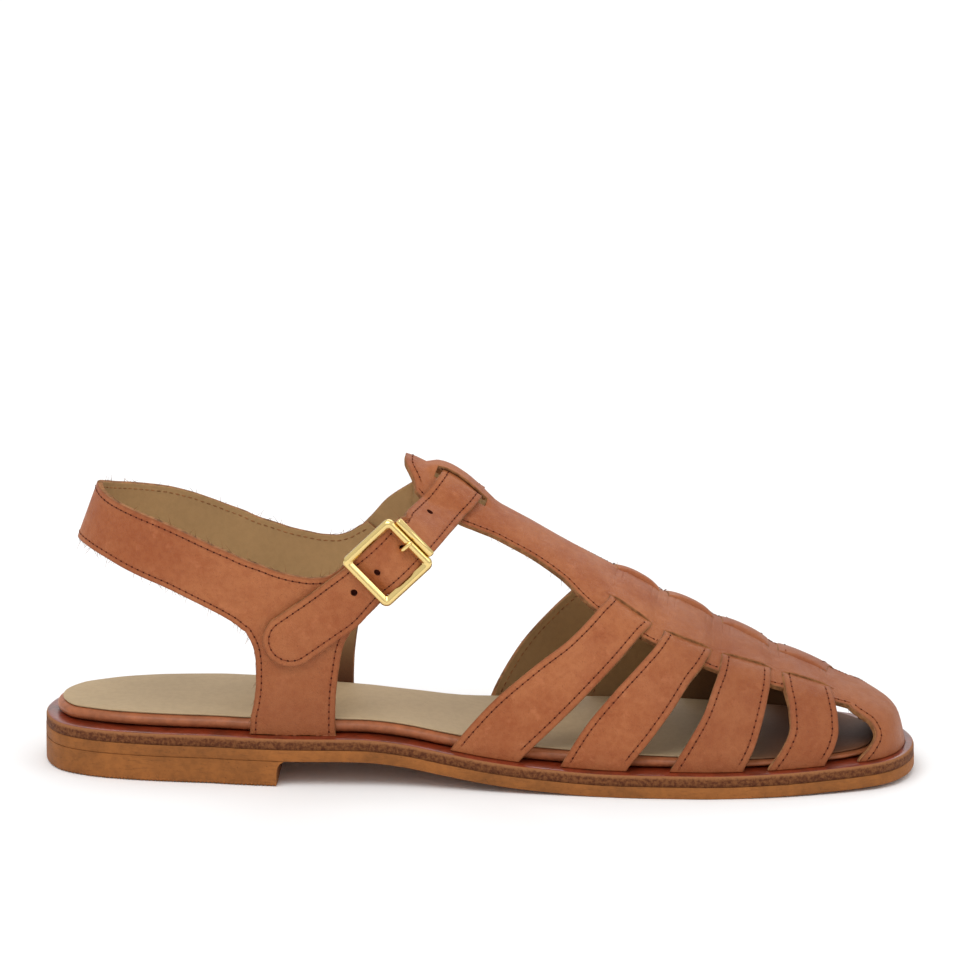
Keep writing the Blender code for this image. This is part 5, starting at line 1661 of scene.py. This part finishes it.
def scatter_tree():
    """Geometry nodes that set one small body on every point, turned by its attributes."""
    tree = bpy.data.node_groups.new("Scatter along seams", "GeometryNodeTree")
    face = tree.interface
    face.new_socket(name="Geometry", in_out="INPUT", socket_type="NodeSocketGeometry")
    for name, kind in (("Length", "Float"), ("Width", "Float"), ("Height", "Float"), ("Spread", "Float"),
                       ("Seed", "Int"), ("Fibre", "Bool"), ("Material", "Material")):
        face.new_socket(name=name, in_out="INPUT", socket_type="NodeSocket" + kind)
    face.new_socket(name="Geometry", in_out="OUTPUT", socket_type="NodeSocketGeometry")
    given = tree.nodes.new("NodeGroupInput").outputs
    along, facing = (
        wire(tree, "GeometryNodeInputNamedAttribute", {"Name": name}, data_type="FLOAT_VECTOR").outputs[0]
        for name in ("along", "facing")
    )
    turned = wire(tree, "FunctionNodeAxesToRotation", {"Primary Axis": facing, "Secondary Axis": along},
                  primary_axis="Z", secondary_axis="X").outputs[0]
    jitter = wire(tree, "FunctionNodeRandomValue", {"Seed": given["Seed"]}, data_type="FLOAT_VECTOR")
    jitter.inputs[0].default_value = (-1.0, -1.0, -1.0)
    jitter.inputs[1].default_value = (1.0, 1.0, 1.0)
    swing = wire(tree, "ShaderNodeVectorMath", {0: jitter.outputs[0]}, operation="SCALE")
    tree.links.new(given["Spread"], swing.inputs["Scale"])
    loose = wire(tree, "FunctionNodeEulerToRotation", {0: swing.outputs[0]}).outputs[0]
    rotation = wire(tree, "FunctionNodeRotateRotation", {"Rotation": turned, "Rotate By": loose},
                    rotation_space="LOCAL").outputs[0]
    thread = wire(tree, "GeometryNodeMeshUVSphere", {"Segments": 8, "Rings": 5, "Radius": 0.5}).outputs[0]
    hair = wire(tree, "GeometryNodeMeshCone",
                {"Vertices": 3, "Radius Top": 0.15, "Radius Bottom": 0.5, "Depth": 1.0})
    body = wire(tree, "GeometryNodeSwitch",
                {"Switch": given["Fibre"], "False": thread, "True": hair.outputs[0]},
                input_type="GEOMETRY").outputs[0]
    chance = wire(tree, "FunctionNodeRandomValue", {"Seed": given["Seed"]}, data_type="FLOAT")
    chance.inputs[2].default_value = -1.0
    chance.inputs[3].default_value = 1.0
    part = calc(tree, "MULTIPLY_ADD", chance.outputs[1], given["Spread"], 1.0)
    tall = calc(tree, "MULTIPLY", part, given["Height"])
    size = wire(tree, "ShaderNodeCombineXYZ", {"X": given["Length"], "Y": given["Width"], "Z": tall})
    placed = wire(tree, "GeometryNodeInstanceOnPoints", {"Points": given["Geometry"], "Instance": body,
                                                         "Rotation": rotation,
                                                         "Scale": size.outputs[0]}).outputs[0]
    real = wire(tree, "GeometryNodeRealizeInstances", {"Geometry": placed}).outputs[0]
    smooth_faces = wire(tree, "GeometryNodeSetShadeSmooth", {"Geometry": real}).outputs[0]
    painted = wire(tree, "GeometryNodeSetMaterial",
                   {"Geometry": smooth_faces, "Material": given["Material"]})
    wire(tree, "NodeGroupOutput", {0: painted.outputs[0]})
    return tree


def scatter(name, rows, values):
    """Runs the scatter nodes on the rows and keeps the plain mesh that comes out."""
    tree = bpy.data.node_groups.get("Scatter along seams") or scatter_tree()
    made = point_cloud(name, rows)
    modifier = made.modifiers.new("scatter", "NODES")
    modifier.node_group = tree
    keys = {item.name: item.identifier for item in tree.interface.items_tree if item.in_out == "INPUT"}
    for key, value in values.items():
        modifier[keys[key]] = value
    bpy.context.view_layer.update()
    graph = bpy.context.evaluated_depsgraph_get()
    mesh = bpy.data.meshes.new_from_object(made.evaluated_get(graph))
    made.modifiers.remove(modifier)
    made.data = mesh
    if not len(mesh.polygons):
        raise RuntimeError(f"{name} came out empty")
    return made


def fray_rows(seams):
    """Loose fibres on raw edges, thickest below the heel strap: place, direction and lean."""
    rng = np.random.default_rng(seams.seed)
    top, under = quarter_edges()[:2]
    rear_strap = EDGES[0][0]
    bar = margin_run(*margin_runs()[0])
    down, up = np.array([0.0, 0.0, -1.0]), np.array([0.0, 0.0, 1.0])
    cap = line_run(CAP_EDGE, np.linspace(-0.9, CAP_EDGE.turns[4], 50), 0.0)
    inner_strap = line_run(rear_strap, np.linspace(rear_strap.turns[6] + 0.05, 0.9, 60), 1.0)
    runs = (
        # edge, share of places with a fibre, way it hangs, how strongly
        (under, 0.75, down, 1.0), (top, 0.30, up, 0.6), (bar, 0.30, down, 0.6), (cap, 0.5, down, 0.5),
        (inner_strap, 0.35, down, 0.5),
    )
    rows = []
    for run, density, towards, stretch in runs:
        fine = fine_run(run, RUN_STEP)
        for k, (point, normal) in enumerate(fine):
            patch = 0.5 + 0.5 * math.sin(k * 0.11) * math.sin(k * 0.037 + 1.0)
            if rng.random() > density * (0.35 + 0.65 * patch):
                continue
            along = fine[min(k + 1, len(fine) - 1)][0] - fine[max(k - 1, 0)][0]
            along = unit(along)
            depth = WALL * (0.2 + 0.7 * rng.random())
            lean = towards * stretch + along * rng.normal(0, 0.55) + normal * rng.normal(0.1, 0.35)
            rows.append((point - normal * depth, along, unit(lean)))
    return rows


# Finishes


def group_tree(name, inputs, outputs):
    tree = bpy.data.node_groups.new(name, "ShaderNodeTree")
    for label, kind, value in inputs:
        socket = tree.interface.new_socket(name=label, in_out="INPUT", socket_type=kind)
        socket.default_value = value
    for label, kind in outputs:
        tree.interface.new_socket(name=label, in_out="OUTPUT", socket_type=kind)
    return tree, tree.nodes.new("NodeGroupInput").outputs, tree.nodes.new("NodeGroupOutput").inputs


def noise(tree, place, scale, detail=3.0, rough=0.5, warp=0.0):
    values = {"Vector": place, "Scale": scale, "Detail": detail, "Roughness": rough, "Distortion": warp}
    return wire(tree, "ShaderNodeTexNoise", values).outputs["Fac"]


def object_place(tree):
    return wire(tree, "ShaderNodeTexCoord").outputs["Object"]


def marked(tree, name):
    """Value of one of the mesh's own attributes."""
    return wire(tree, "ShaderNodeAttribute", attribute_name=name).outputs["Fac"]


def calc(tree, operation, first, second=0.0, third=None, clamp=False):
    values = {0: first, 1: second}
    if third is not None:
        values[2] = third
    return wire(tree, "ShaderNodeMath", values, operation=operation, use_clamp=clamp).outputs[0]


def span(tree, value, low, high, to_low=0.0, to_high=1.0):
    """Value carried from one span to another, held at both ends."""
    values = {"Value": value, "From Min": low, "From Max": high, "To Min": to_low, "To Max": to_high}
    return wire(tree, "ShaderNodeMapRange", values, interpolation_type="SMOOTHSTEP").outputs[0]


def mix(tree, part, first, second, blend="MIX"):
    node = tree.nodes.new("ShaderNodeMix")
    node.data_type = "RGBA"
    node.blend_type = blend
    for index, value in ((0, part), (6, first), (7, second)):
        if isinstance(value, bpy.types.NodeSocket):
            tree.links.new(value, node.inputs[index])
        elif index == 0:
            node.inputs[index].default_value = value
        else:
            node.inputs[index].default_value = (*value[:3], 1.0)
    return node.outputs[2]


def grain_group():
    """Skin of the leather: small cells, pores and long faint creases, as one height."""
    found = bpy.data.node_groups.get("Leather grain")
    if found:
        return found
    tree, given, out = group_tree("Leather grain", (("Cells", "NodeSocketFloat", 1500.0),
                                                    ("Creases", "NodeSocketFloat", 90.0)),
                                  (("Height", "NodeSocketFloat"), ("Pores", "NodeSocketFloat")))
    place = object_place(tree)
    bent = wire(tree, "ShaderNodeTexNoise",
                {"Vector": place, "Scale": 420.0, "Detail": 2.0}).outputs["Color"]
    wave = wire(tree, "ShaderNodeVectorMath", {0: bent, 1: (0.0009, 0.0009, 0.0009)},
                operation="MULTIPLY").outputs[0]
    moved = wire(tree, "ShaderNodeVectorMath", {0: place, 1: wave}, operation="ADD").outputs[0]
    cells = wire(tree, "ShaderNodeTexVoronoi", {"Vector": moved, "Scale": given["Cells"]},
                 feature="DISTANCE_TO_EDGE").outputs["Distance"]
    rims = span(tree, cells, 0.0, 0.22)
    pores = span(tree, noise(tree, place, 2400.0, 2.0, 0.6), 0.60, 0.72)
    folds = wire(tree, "ShaderNodeTexNoise", {"Vector": moved, "Scale": given["Creases"], "Detail": 4.0,
                                              "Roughness": 0.62, "Distortion": 0.8}).outputs["Fac"]
    height = calc(tree, "ADD", calc(tree, "MULTIPLY", rims, 0.30), calc(tree, "MULTIPLY", folds, 0.75))
    height = calc(tree, "SUBTRACT", height, calc(tree, "MULTIPLY", pores, 0.35))
    tree.links.new(height, out["Height"])
    tree.links.new(pores, out["Pores"])
    return tree


def clouds_group():
    """Slow change between two colours, with fine mottling."""
    found = bpy.data.node_groups.get("Colour clouds")
    if found:
        return found
    tree, given, out = group_tree("Colour clouds", (("Light", "NodeSocketColor", (1, 1, 1, 1)),
                                                    ("Deep", "NodeSocketColor", (0, 0, 0, 1)),
                                                    ("Scale", "NodeSocketFloat", 40.0)),
                                  (("Color", "NodeSocketColor"),))
    place = object_place(tree)
    cloud = wire(tree, "ShaderNodeTexNoise", {"Vector": place, "Scale": given["Scale"], "Detail": 3.0,
                                              "Roughness": 0.55}).outputs["Fac"]
    slow = span(tree, cloud, 0.34, 0.68)
    fine = span(tree, noise(tree, place, 520.0, 3.0, 0.6), 0.36, 0.66, 0.0, 0.35)
    part = calc(tree, "ADD", calc(tree, "MULTIPLY", slow, 0.72), fine, clamp=True)
    tree.links.new(mix(tree, part, given["Light"], given["Deep"]), out["Color"])
    return tree


def use_group(tree, group, **values):
    node = tree.nodes.new("ShaderNodeGroup")
    node.node_tree = group
    for key, value in values.items():
        colour = isinstance(value, (tuple, list)) or hasattr(value, "hsv")
        node.inputs[key].default_value = (*value[:3], 1.0) if colour else value
    return node.outputs


def start_material(name):
    made = bpy.data.materials.new(name)
    made.use_nodes = True
    tree = made.node_tree
    return made, tree, tree.nodes["Principled BSDF"]


SOCKETS = {"rough": "Roughness", "coat": "Coat Weight", "coat_rough": "Coat Roughness",
           "specular": "Specular IOR Level", "metal": "Metallic"}


def set_shader(shader, **values):
    """Constants straight on the shader's sockets."""
    for key, value in values.items():
        shader.inputs[SOCKETS[key]].default_value = value


def darker(colour, part):
    return tuple(c * part for c in colour)


def bump(tree, height, distance, strength=1.0, before=None):
    values = {"Height": height, "Distance": distance, "Strength": strength}
    if before is not None:
        values["Normal"] = before
    return wire(tree, "ShaderNodeBump", values).outputs[0]


GROOVE_PLACE = 0.0021       # pressed line beside the seam, from the cut edge


def leather_material(tones):
    made, tree, shader = start_material("tan waxed leather")
    clouds = use_group(tree, clouds_group(), Light=tuple(tones.leather), Deep=tuple(tones.leather_deep),
                       Scale=46.0)
    grain = use_group(tree, grain_group(), Cells=1350.0, Creases=110.0)
    edge = marked(tree, "edge")
    place = object_place(tree)
    ragged = calc(tree, "ADD", edge, calc(tree, "MULTIPLY", noise(tree, place, 900.0), 0.0005))
    burnt = span(tree, ragged, 0.0003, 0.0012, 0.38, 0.0)
    colour = mix(tree, burnt, clouds["Color"], darker(tones.leather_deep, 0.42))
    worn = span(tree, noise(tree, place, 230.0, 4.0, 0.65), 0.56, 0.72, 0.0, 0.30)
    pale = tuple(min(c * 1.28 + 0.02, 1.0) for c in tones.leather)
    colour = mix(tree, worn, colour, pale)
    # Painted shade from the shade attribute, in a darker copy of the leather's deep colour
    shade = marked(tree, "shade")
    colour = mix(tree, calc(tree, "MULTIPLY", shade, 0.45), colour, darker(tones.leather_deep, 0.62))
    dark = darker(tones.leather_deep, 0.5)
    colour = mix(tree, calc(tree, "MULTIPLY", grain["Pores"], 0.35), colour, dark)
    groove = span(tree, calc(tree, "ABSOLUTE", calc(tree, "SUBTRACT", edge, GROOVE_PLACE)), 0.0, 0.0006)
    colour = mix(tree, calc(tree, "MULTIPLY_ADD", groove, -0.05, 0.05), colour, dark)
    tree.links.new(colour, shader.inputs["Base Color"])
    rough = span(tree, noise(tree, place, 160.0, 3.0, 0.6), 0.3, 0.7, 0.46, 0.60)
    tree.links.new(rough, shader.inputs["Roughness"])
    sunk = bump(tree, groove, 0.00008, 0.6)
    tree.links.new(bump(tree, grain["Height"], 0.00016, 0.85, sunk), shader.inputs["Normal"])
    set_shader(shader, coat=0.05, coat_rough=0.30, specular=0.28)
    return made


def plain_material(name, colour, deep, roughness, coat=0.0, grain=0.0001, scale=300.0, cloud=60.0):
    """Clouded finish: deep is the share of the colour that its darker clouds keep."""
    made, tree, shader = start_material(name)
    clouds = use_group(tree, clouds_group(), Light=tuple(colour), Deep=darker(colour, deep), Scale=cloud)
    tree.links.new(clouds["Color"], shader.inputs["Base Color"])
    place = object_place(tree)
    tree.links.new(bump(tree, noise(tree, place, scale, 4.0, 0.65), grain), shader.inputs["Normal"])
    set_shader(shader, rough=roughness, coat=coat, coat_rough=0.2, metal=0.0, specular=0.2)
    return made


def lining_material(name, colour, deep, roughness):
    """Smooth lining leather with painted shade: dark brown where the shade attribute says so, towards the
    toe.
    """
    made, tree, shader = start_material(name)
    clouds = use_group(tree, clouds_group(), Light=tuple(colour), Deep=darker(colour, 0.84), Scale=26.0)
    shade = marked(tree, "shade")
    tree.links.new(mix(tree, shade, clouds["Color"], deep), shader.inputs["Base Color"])
    place = object_place(tree)
    tree.links.new(bump(tree, noise(tree, place, 1100.0, 3.0, 0.6), 0.0001), shader.inputs["Normal"])
    set_shader(shader, rough=roughness, specular=0.15)
    return made


def sole_material(tones):
    made, tree, shader = start_material("honey sole")
    clouds = use_group(tree, clouds_group(), Light=tuple(tones.sole), Deep=darker(tones.sole, 0.62),
                       Scale=55.0)
    place = object_place(tree)
    flat = wire(tree, "ShaderNodeVectorMath", {0: place, 1: (1.0, 1.0, 6.0)},
                operation="MULTIPLY").outputs[0]
    streaks = span(tree, noise(tree, flat, 260.0, 4.0, 0.7), 0.52, 0.70, 0.0, 0.45)
    colour = mix(tree, streaks, clouds["Color"], darker(tones.sole, 0.40))
    dots = span(tree, noise(tree, place, 1500.0, 2.0, 0.6), 0.64, 0.74, 0.0, 0.6)
    tree.links.new(mix(tree, dots, colour, darker(tones.sole, 0.30)), shader.inputs["Base Color"])
    tree.links.new(bump(tree, noise(tree, flat, 700.0, 4.0, 0.7), 0.00012), shader.inputs["Normal"])
    set_shader(shader, rough=0.66, specular=0.25)
    return made


def welt_side_material(tones):
    """Sanded edge of the welt: dark below, with a lighter line where it rounds over, partly wear and partly
    painted highlight.
    """
    made, tree, shader = start_material("welt edge")
    level = marked(tree, "level")
    place = object_place(tree)
    rough = noise(tree, place, 1100.0, 4.0, 0.7)
    ragged = calc(tree, "ADD", level, calc(tree, "MULTIPLY", calc(tree, "SUBTRACT", rough, 0.5), 0.45))
    lit = span(tree, ragged, 0.58, 0.90)
    low = mix(tree, span(tree, noise(tree, place, 900.0, 4.0, 0.75), 0.38, 0.62), tint(84, 42, 20),
              tint(124, 76, 42))
    tree.links.new(mix(tree, lit, low, tuple(tones.welt_side)), shader.inputs["Base Color"])
    tree.links.new(bump(tree, rough, 0.0003), shader.inputs["Normal"])
    set_shader(shader, rough=0.75, specular=0.2)
    return made


def welt_top_material(tones):
    made, tree, shader = start_material("welt top")
    clouds = use_group(tree, clouds_group(), Light=tuple(tones.welt_top), Deep=darker(tones.welt_top, 0.45),
                       Scale=120.0)
    place = object_place(tree)
    wear = span(tree, noise(tree, place, 700.0, 4.0, 0.7), 0.60, 0.74, 0.0, 0.55)
    tree.links.new(mix(tree, wear, clouds["Color"], tuple(tones.welt_side)), shader.inputs["Base Color"])
    tree.links.new(bump(tree, noise(tree, place, 800.0, 3.0, 0.6), 0.00012), shader.inputs["Normal"])
    set_shader(shader, rough=0.30, coat=0.4, coat_rough=0.15)
    return made


def gold_material(tones):
    made, tree, shader = start_material("gold")
    shader.inputs["Base Color"].default_value = (*tones.gold, 1.0)
    set_shader(shader, metal=1.0)
    place = object_place(tree)
    tree.links.new(span(tree, noise(tree, place, 600.0, 3.0, 0.6), 0.3, 0.7, 0.12, 0.26),
                   shader.inputs["Roughness"])
    tree.links.new(bump(tree, noise(tree, place, 350.0, 2.0, 0.5), 0.00008, 0.6), shader.inputs["Normal"])
    return made


def build_finishes(tones):
    """Every finish of the shoe, made once."""
    names = {"leather": "tan waxed leather", "lining": "lining", "raw edge": "raw edge", "thread": "thread",
             "needle": "needle holes", "sock": "sock", "rim": "insole rim", "welt top": "welt top",
             "welt side": "welt edge", "sole": "honey sole", "gold": "gold"}
    if bpy.data.materials.get("insole rim"):
        return {key: bpy.data.materials[name] for key, name in names.items()}
    for old in [m for m in bpy.data.materials if m.name in names.values()]:
        old.name = "frame " + old.name
    return {
        "leather": leather_material(tones),
        # The dark browns given to the lining here and to the sock below are painted shade
        "lining": lining_material("lining", tones.lining, tint(70, 30, 14), 0.8),
        "raw edge": plain_material("raw edge", tones.raw_edge, 0.5, 0.8, grain=0.0003, scale=1300.0,
                                   cloud=260.0),
        "thread": plain_material("thread", tones.thread, 0.6, 0.75, scale=3000.0),
        "needle": plain_material("needle holes", tones.needle, 0.5, 0.9, scale=3000.0),
        "sock": lining_material("sock", tones.sock, tint(98, 46, 22), 0.62),
        "rim": plain_material("insole rim", tones.rim, 0.6, 0.42, coat=0.15, grain=0.0002, scale=600.0,
                              cloud=90.0),
        "welt top": welt_top_material(tones),
        "welt side": welt_side_material(tones),
        "sole": sole_material(tones),
        "gold": gold_material(tones),
    }


# Stage


CAMERA_AZIMUTH = math.radians(3.0)
CAMERA_ELEVATION = math.radians(14.5)
CAMERA_DISTANCE = 3.0
CAMERA_TARGET = Vector((0.0004, -0.0072, 0.0894))
SENSOR_WIDTH = 36.0
CAMERA_LENS = 9954.0 * SENSOR_WIDTH / 960.0     # from its length in pixels of a picture 960 wide


def aim(made, place, target):
    made.location = place
    made.rotation_mode = "QUATERNION"
    made.rotation_quaternion = (Vector(target) - Vector(place)).to_track_quat("-Z", "Y")


def area_light(name, place, target, size, power, shape="RECTANGLE"):
    data = bpy.data.lights.new(name, "AREA")
    data.shape = shape
    data.size, data.size_y = size
    data.energy = power
    made = bpy.data.objects.new(name, data)
    aim(made, place, target)
    bpy.context.scene.collection.objects.link(made)
    made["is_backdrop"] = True
    return made


def build_stage(stage):
    scene = bpy.context.scene
    mesh = bpy.data.meshes.new("floor")
    half = 6.0
    mesh.from_pydata([(-half, -half, 0), (half, -half, 0), (half, half, 0), (-half, half, 0)], [],
                     [(0, 1, 2, 3)])
    floor = bpy.data.objects.new("floor", mesh)
    scene.collection.objects.link(floor)
    made, tree, shader = start_material("floor")
    shader.inputs["Base Color"].default_value = (*stage.floor, 1.0)
    set_shader(shader, rough=0.9, specular=0.1)
    mesh.materials.append(made)
    floor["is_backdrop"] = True
    world = bpy.data.worlds.new("studio")
    world.use_nodes = True
    scene.world = world
    tree = world.node_tree
    place = wire(tree, "ShaderNodeTexCoord").outputs["Generated"]
    up = wire(tree, "ShaderNodeSeparateXYZ", {0: place}).outputs["Z"]
    level = span(tree, up, -0.05, 0.55, 0.68, 0.90)
    strength = calc(tree, "MULTIPLY", level, stage.sky)
    tree.links.new(strength, tree.nodes["Background"].inputs["Strength"])
    tree.nodes["Background"].inputs["Color"].default_value = (1.0, 1.0, 1.0, 1.0)
    area_light("key", (-0.35, -0.75, 1.35), (0.0, 0.0, 0.03), (1.0, 0.8), stage.key * 0.34)
    area_light("side", (1.3, -0.55, 0.85), (0.0, 0.0, 0.04), (0.7, 0.7), stage.key * 0.10)
    area_light("back", (0.2, 1.3, 1.0), (0.0, 0.0, 0.05), (1.2, 0.6), stage.key * 0.14)
    view = bpy.data.cameras.new("camera")
    view.sensor_width = SENSOR_WIDTH
    view.lens = CAMERA_LENS
    view.clip_start, view.clip_end = 0.1, 100.0
    camera = bpy.data.objects.new("camera", view)
    azimuth, elevation = CAMERA_AZIMUTH, CAMERA_ELEVATION
    back = Vector((math.sin(azimuth) * math.cos(elevation), -math.cos(azimuth) * math.cos(elevation),
                   math.sin(elevation)))
    right = Vector((math.cos(azimuth), math.sin(azimuth), 0.0))
    camera.matrix_world = Matrix.Translation(CAMERA_TARGET + back * CAMERA_DISTANCE) @ Matrix(
        (right, back.cross(right), back)).transposed().to_4x4()
    scene.collection.objects.link(camera)
    scene.camera = camera
    camera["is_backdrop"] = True
    scene.view_settings.view_transform = "Standard"
    scene.view_settings.look = "None"
    scene.view_settings.exposure = 0.0
    scene.view_settings.gamma = 1.0


# Operators


def settings_of(context):
    return context.scene.sandal_finish, context.scene.sandal_seams, context.scene.sandal_stage


class SandalOperator:
    bl_options = {"REGISTER", "UNDO"}

    def execute(self, context):
        finish, seams, stage = settings_of(context)
        self.build(finish, seams, stage)
        return {"FINISHED"}


class SANDAL_OT_sole(SandalOperator, bpy.types.Operator):
    """Builds the outsole, the ribbed heel and the welt"""
    bl_idname = "sandal.sole"
    bl_label = "Sole and welt"

    def build(self, finish, seams, stage):
        tones = build_finishes(finish)
        outsole_piece(tones["sole"])
        heel_piece(tones["sole"])
        welt_piece(tones["welt side"], tones["welt top"])


class SANDAL_OT_insole(SandalOperator, bpy.types.Operator):
    """Builds the insole board and its sock"""
    bl_idname = "sandal.insole"
    bl_label = "Insole and sock"

    def build(self, finish, seams, stage):
        tones = build_finishes(finish)
        insole_piece(tones["rim"], tones["sock"])


class SANDAL_OT_upper(SandalOperator, bpy.types.Operator):
    """Builds the woven upper with its T-bar and toe cap"""
    bl_idname = "sandal.upper"
    bl_label = "Woven upper"

    def build(self, finish, seams, stage):
        upper_piece(build_finishes(finish))


class SANDAL_OT_quarter(SandalOperator, bpy.types.Operator):
    """Builds the heel strap with its pillars"""
    bl_idname = "sandal.quarter"
    bl_label = "Heel quarter"

    def build(self, finish, seams, stage):
        quarter_piece(build_finishes(finish))


class SANDAL_OT_strap(SandalOperator, bpy.types.Operator):
    """Builds the ankle strap with its punched holes"""
    bl_idname = "sandal.strap"
    bl_label = "Ankle strap"

    def build(self, finish, seams, stage):
        strap_piece(build_finishes(finish))


class SANDAL_OT_buckle(SandalOperator, bpy.types.Operator):
    """Builds the buckle's frame, roller and prong"""
    bl_idname = "sandal.buckle"
    bl_label = "Buckle"

    def build(self, finish, seams, stage):
        buckle_pieces(build_finishes(finish)["gold"])


class SANDAL_OT_stitches(SandalOperator, bpy.types.Operator):
    """Sews every seam of the straps"""
    bl_idname = "sandal.stitches"
    bl_label = "Stitches"

    def build(self, finish, seams, stage):
        tones = build_finishes(finish)
        thread, needle, lining = all_stitches(seams)
        values = {"Length": seams.length, "Width": seams.width, "Height": seams.width * 0.8, "Spread": 0.06,
                  "Seed": seams.seed, "Fibre": False, "Material": tones["thread"]}
        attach(scatter("stitching", thread, values), "root")
        values["Material"] = tones["raw edge"]
        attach(scatter("inner_stitching", lining, values), "root")
        # The needle holes: small dark dots of painted shade
        values.update({"Length": seams.width * 2.0, "Width": seams.width * 1.25, "Height": seams.width * 1.0,
                       "Material": tones["needle"]})
        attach(scatter("needle_holes", needle, values), "root")


class SANDAL_OT_fibres(SandalOperator, bpy.types.Operator):
    """Adds the loose fibres of the raw edges"""
    bl_idname = "sandal.fibres"
    bl_label = "Loose fibres"

    def build(self, finish, seams, stage):
        values = {"Length": FIBRE_WIDTH, "Width": FIBRE_WIDTH, "Height": seams.fibre, "Spread": 0.6,
                  "Seed": seams.seed, "Fibre": True, "Material": build_finishes(finish)["raw edge"]}
        made = scatter("lining_fray", fray_rows(seams), values)
        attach(made, "root")


class SANDAL_OT_stage(SandalOperator, bpy.types.Operator):
    """Sets the floor, the studio light and the camera"""
    bl_idname = "sandal.stage"
    bl_label = "Stage"

    def build(self, finish, seams, stage):
        build_stage(stage)


STEPS = (SANDAL_OT_sole, SANDAL_OT_insole, SANDAL_OT_upper, SANDAL_OT_quarter, SANDAL_OT_strap,
         SANDAL_OT_buckle, SANDAL_OT_stitches, SANDAL_OT_fibres, SANDAL_OT_stage)


class SANDAL_PT_panel(bpy.types.Panel):
    """Sizes, tones and build steps of the sandal"""
    bl_idname = "SANDAL_PT_panel"
    bl_label = "Fisherman Sandal"
    bl_space_type = "VIEW_3D"
    bl_region_type = "UI"
    bl_category = "Sandal"

    def draw(self, context):
        for group in settings_of(context):
            box = self.layout.box()
            for key in group.__annotations__:
                box.prop(group, key)
        for step in STEPS:
            self.layout.operator(step.bl_idname)


CLASSES = (SandalFinish, SandalSeams, SandalStage) + STEPS + (SANDAL_PT_panel,)


def register():
    for item in CLASSES:
        bpy.utils.register_class(item)
    bpy.types.Scene.sandal_finish = PointerProperty(type=SandalFinish)
    bpy.types.Scene.sandal_seams = PointerProperty(type=SandalSeams)
    bpy.types.Scene.sandal_stage = PointerProperty(type=SandalStage)


def unregister():
    del bpy.types.Scene.sandal_stage
    del bpy.types.Scene.sandal_seams
    del bpy.types.Scene.sandal_finish
    for item in reversed(CLASSES):
        bpy.utils.unregister_class(item)


def main():
    register()
    bpy.ops.sandal.sole()
    bpy.ops.sandal.insole()
    bpy.ops.sandal.upper()
    bpy.ops.sandal.quarter()
    bpy.ops.sandal.strap()
    bpy.ops.sandal.buckle()
    bpy.ops.sandal.stitches()
    bpy.ops.sandal.fibres()
    bpy.ops.sandal.stage()
    sizes = {"frame": CAD_BOX, "pieces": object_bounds()}
    plain(sizes)


def plain(value):
    """Plain lists of numbers in place of vectors and tuples."""
    if isinstance(value, dict):
        return {str(key): plain(item) for key, item in value.items()}
    if isinstance(value, (int, float, str)) or value is None:
        return value
    return [plain(item) for item in value]


if __name__ == "__main__":
    main()
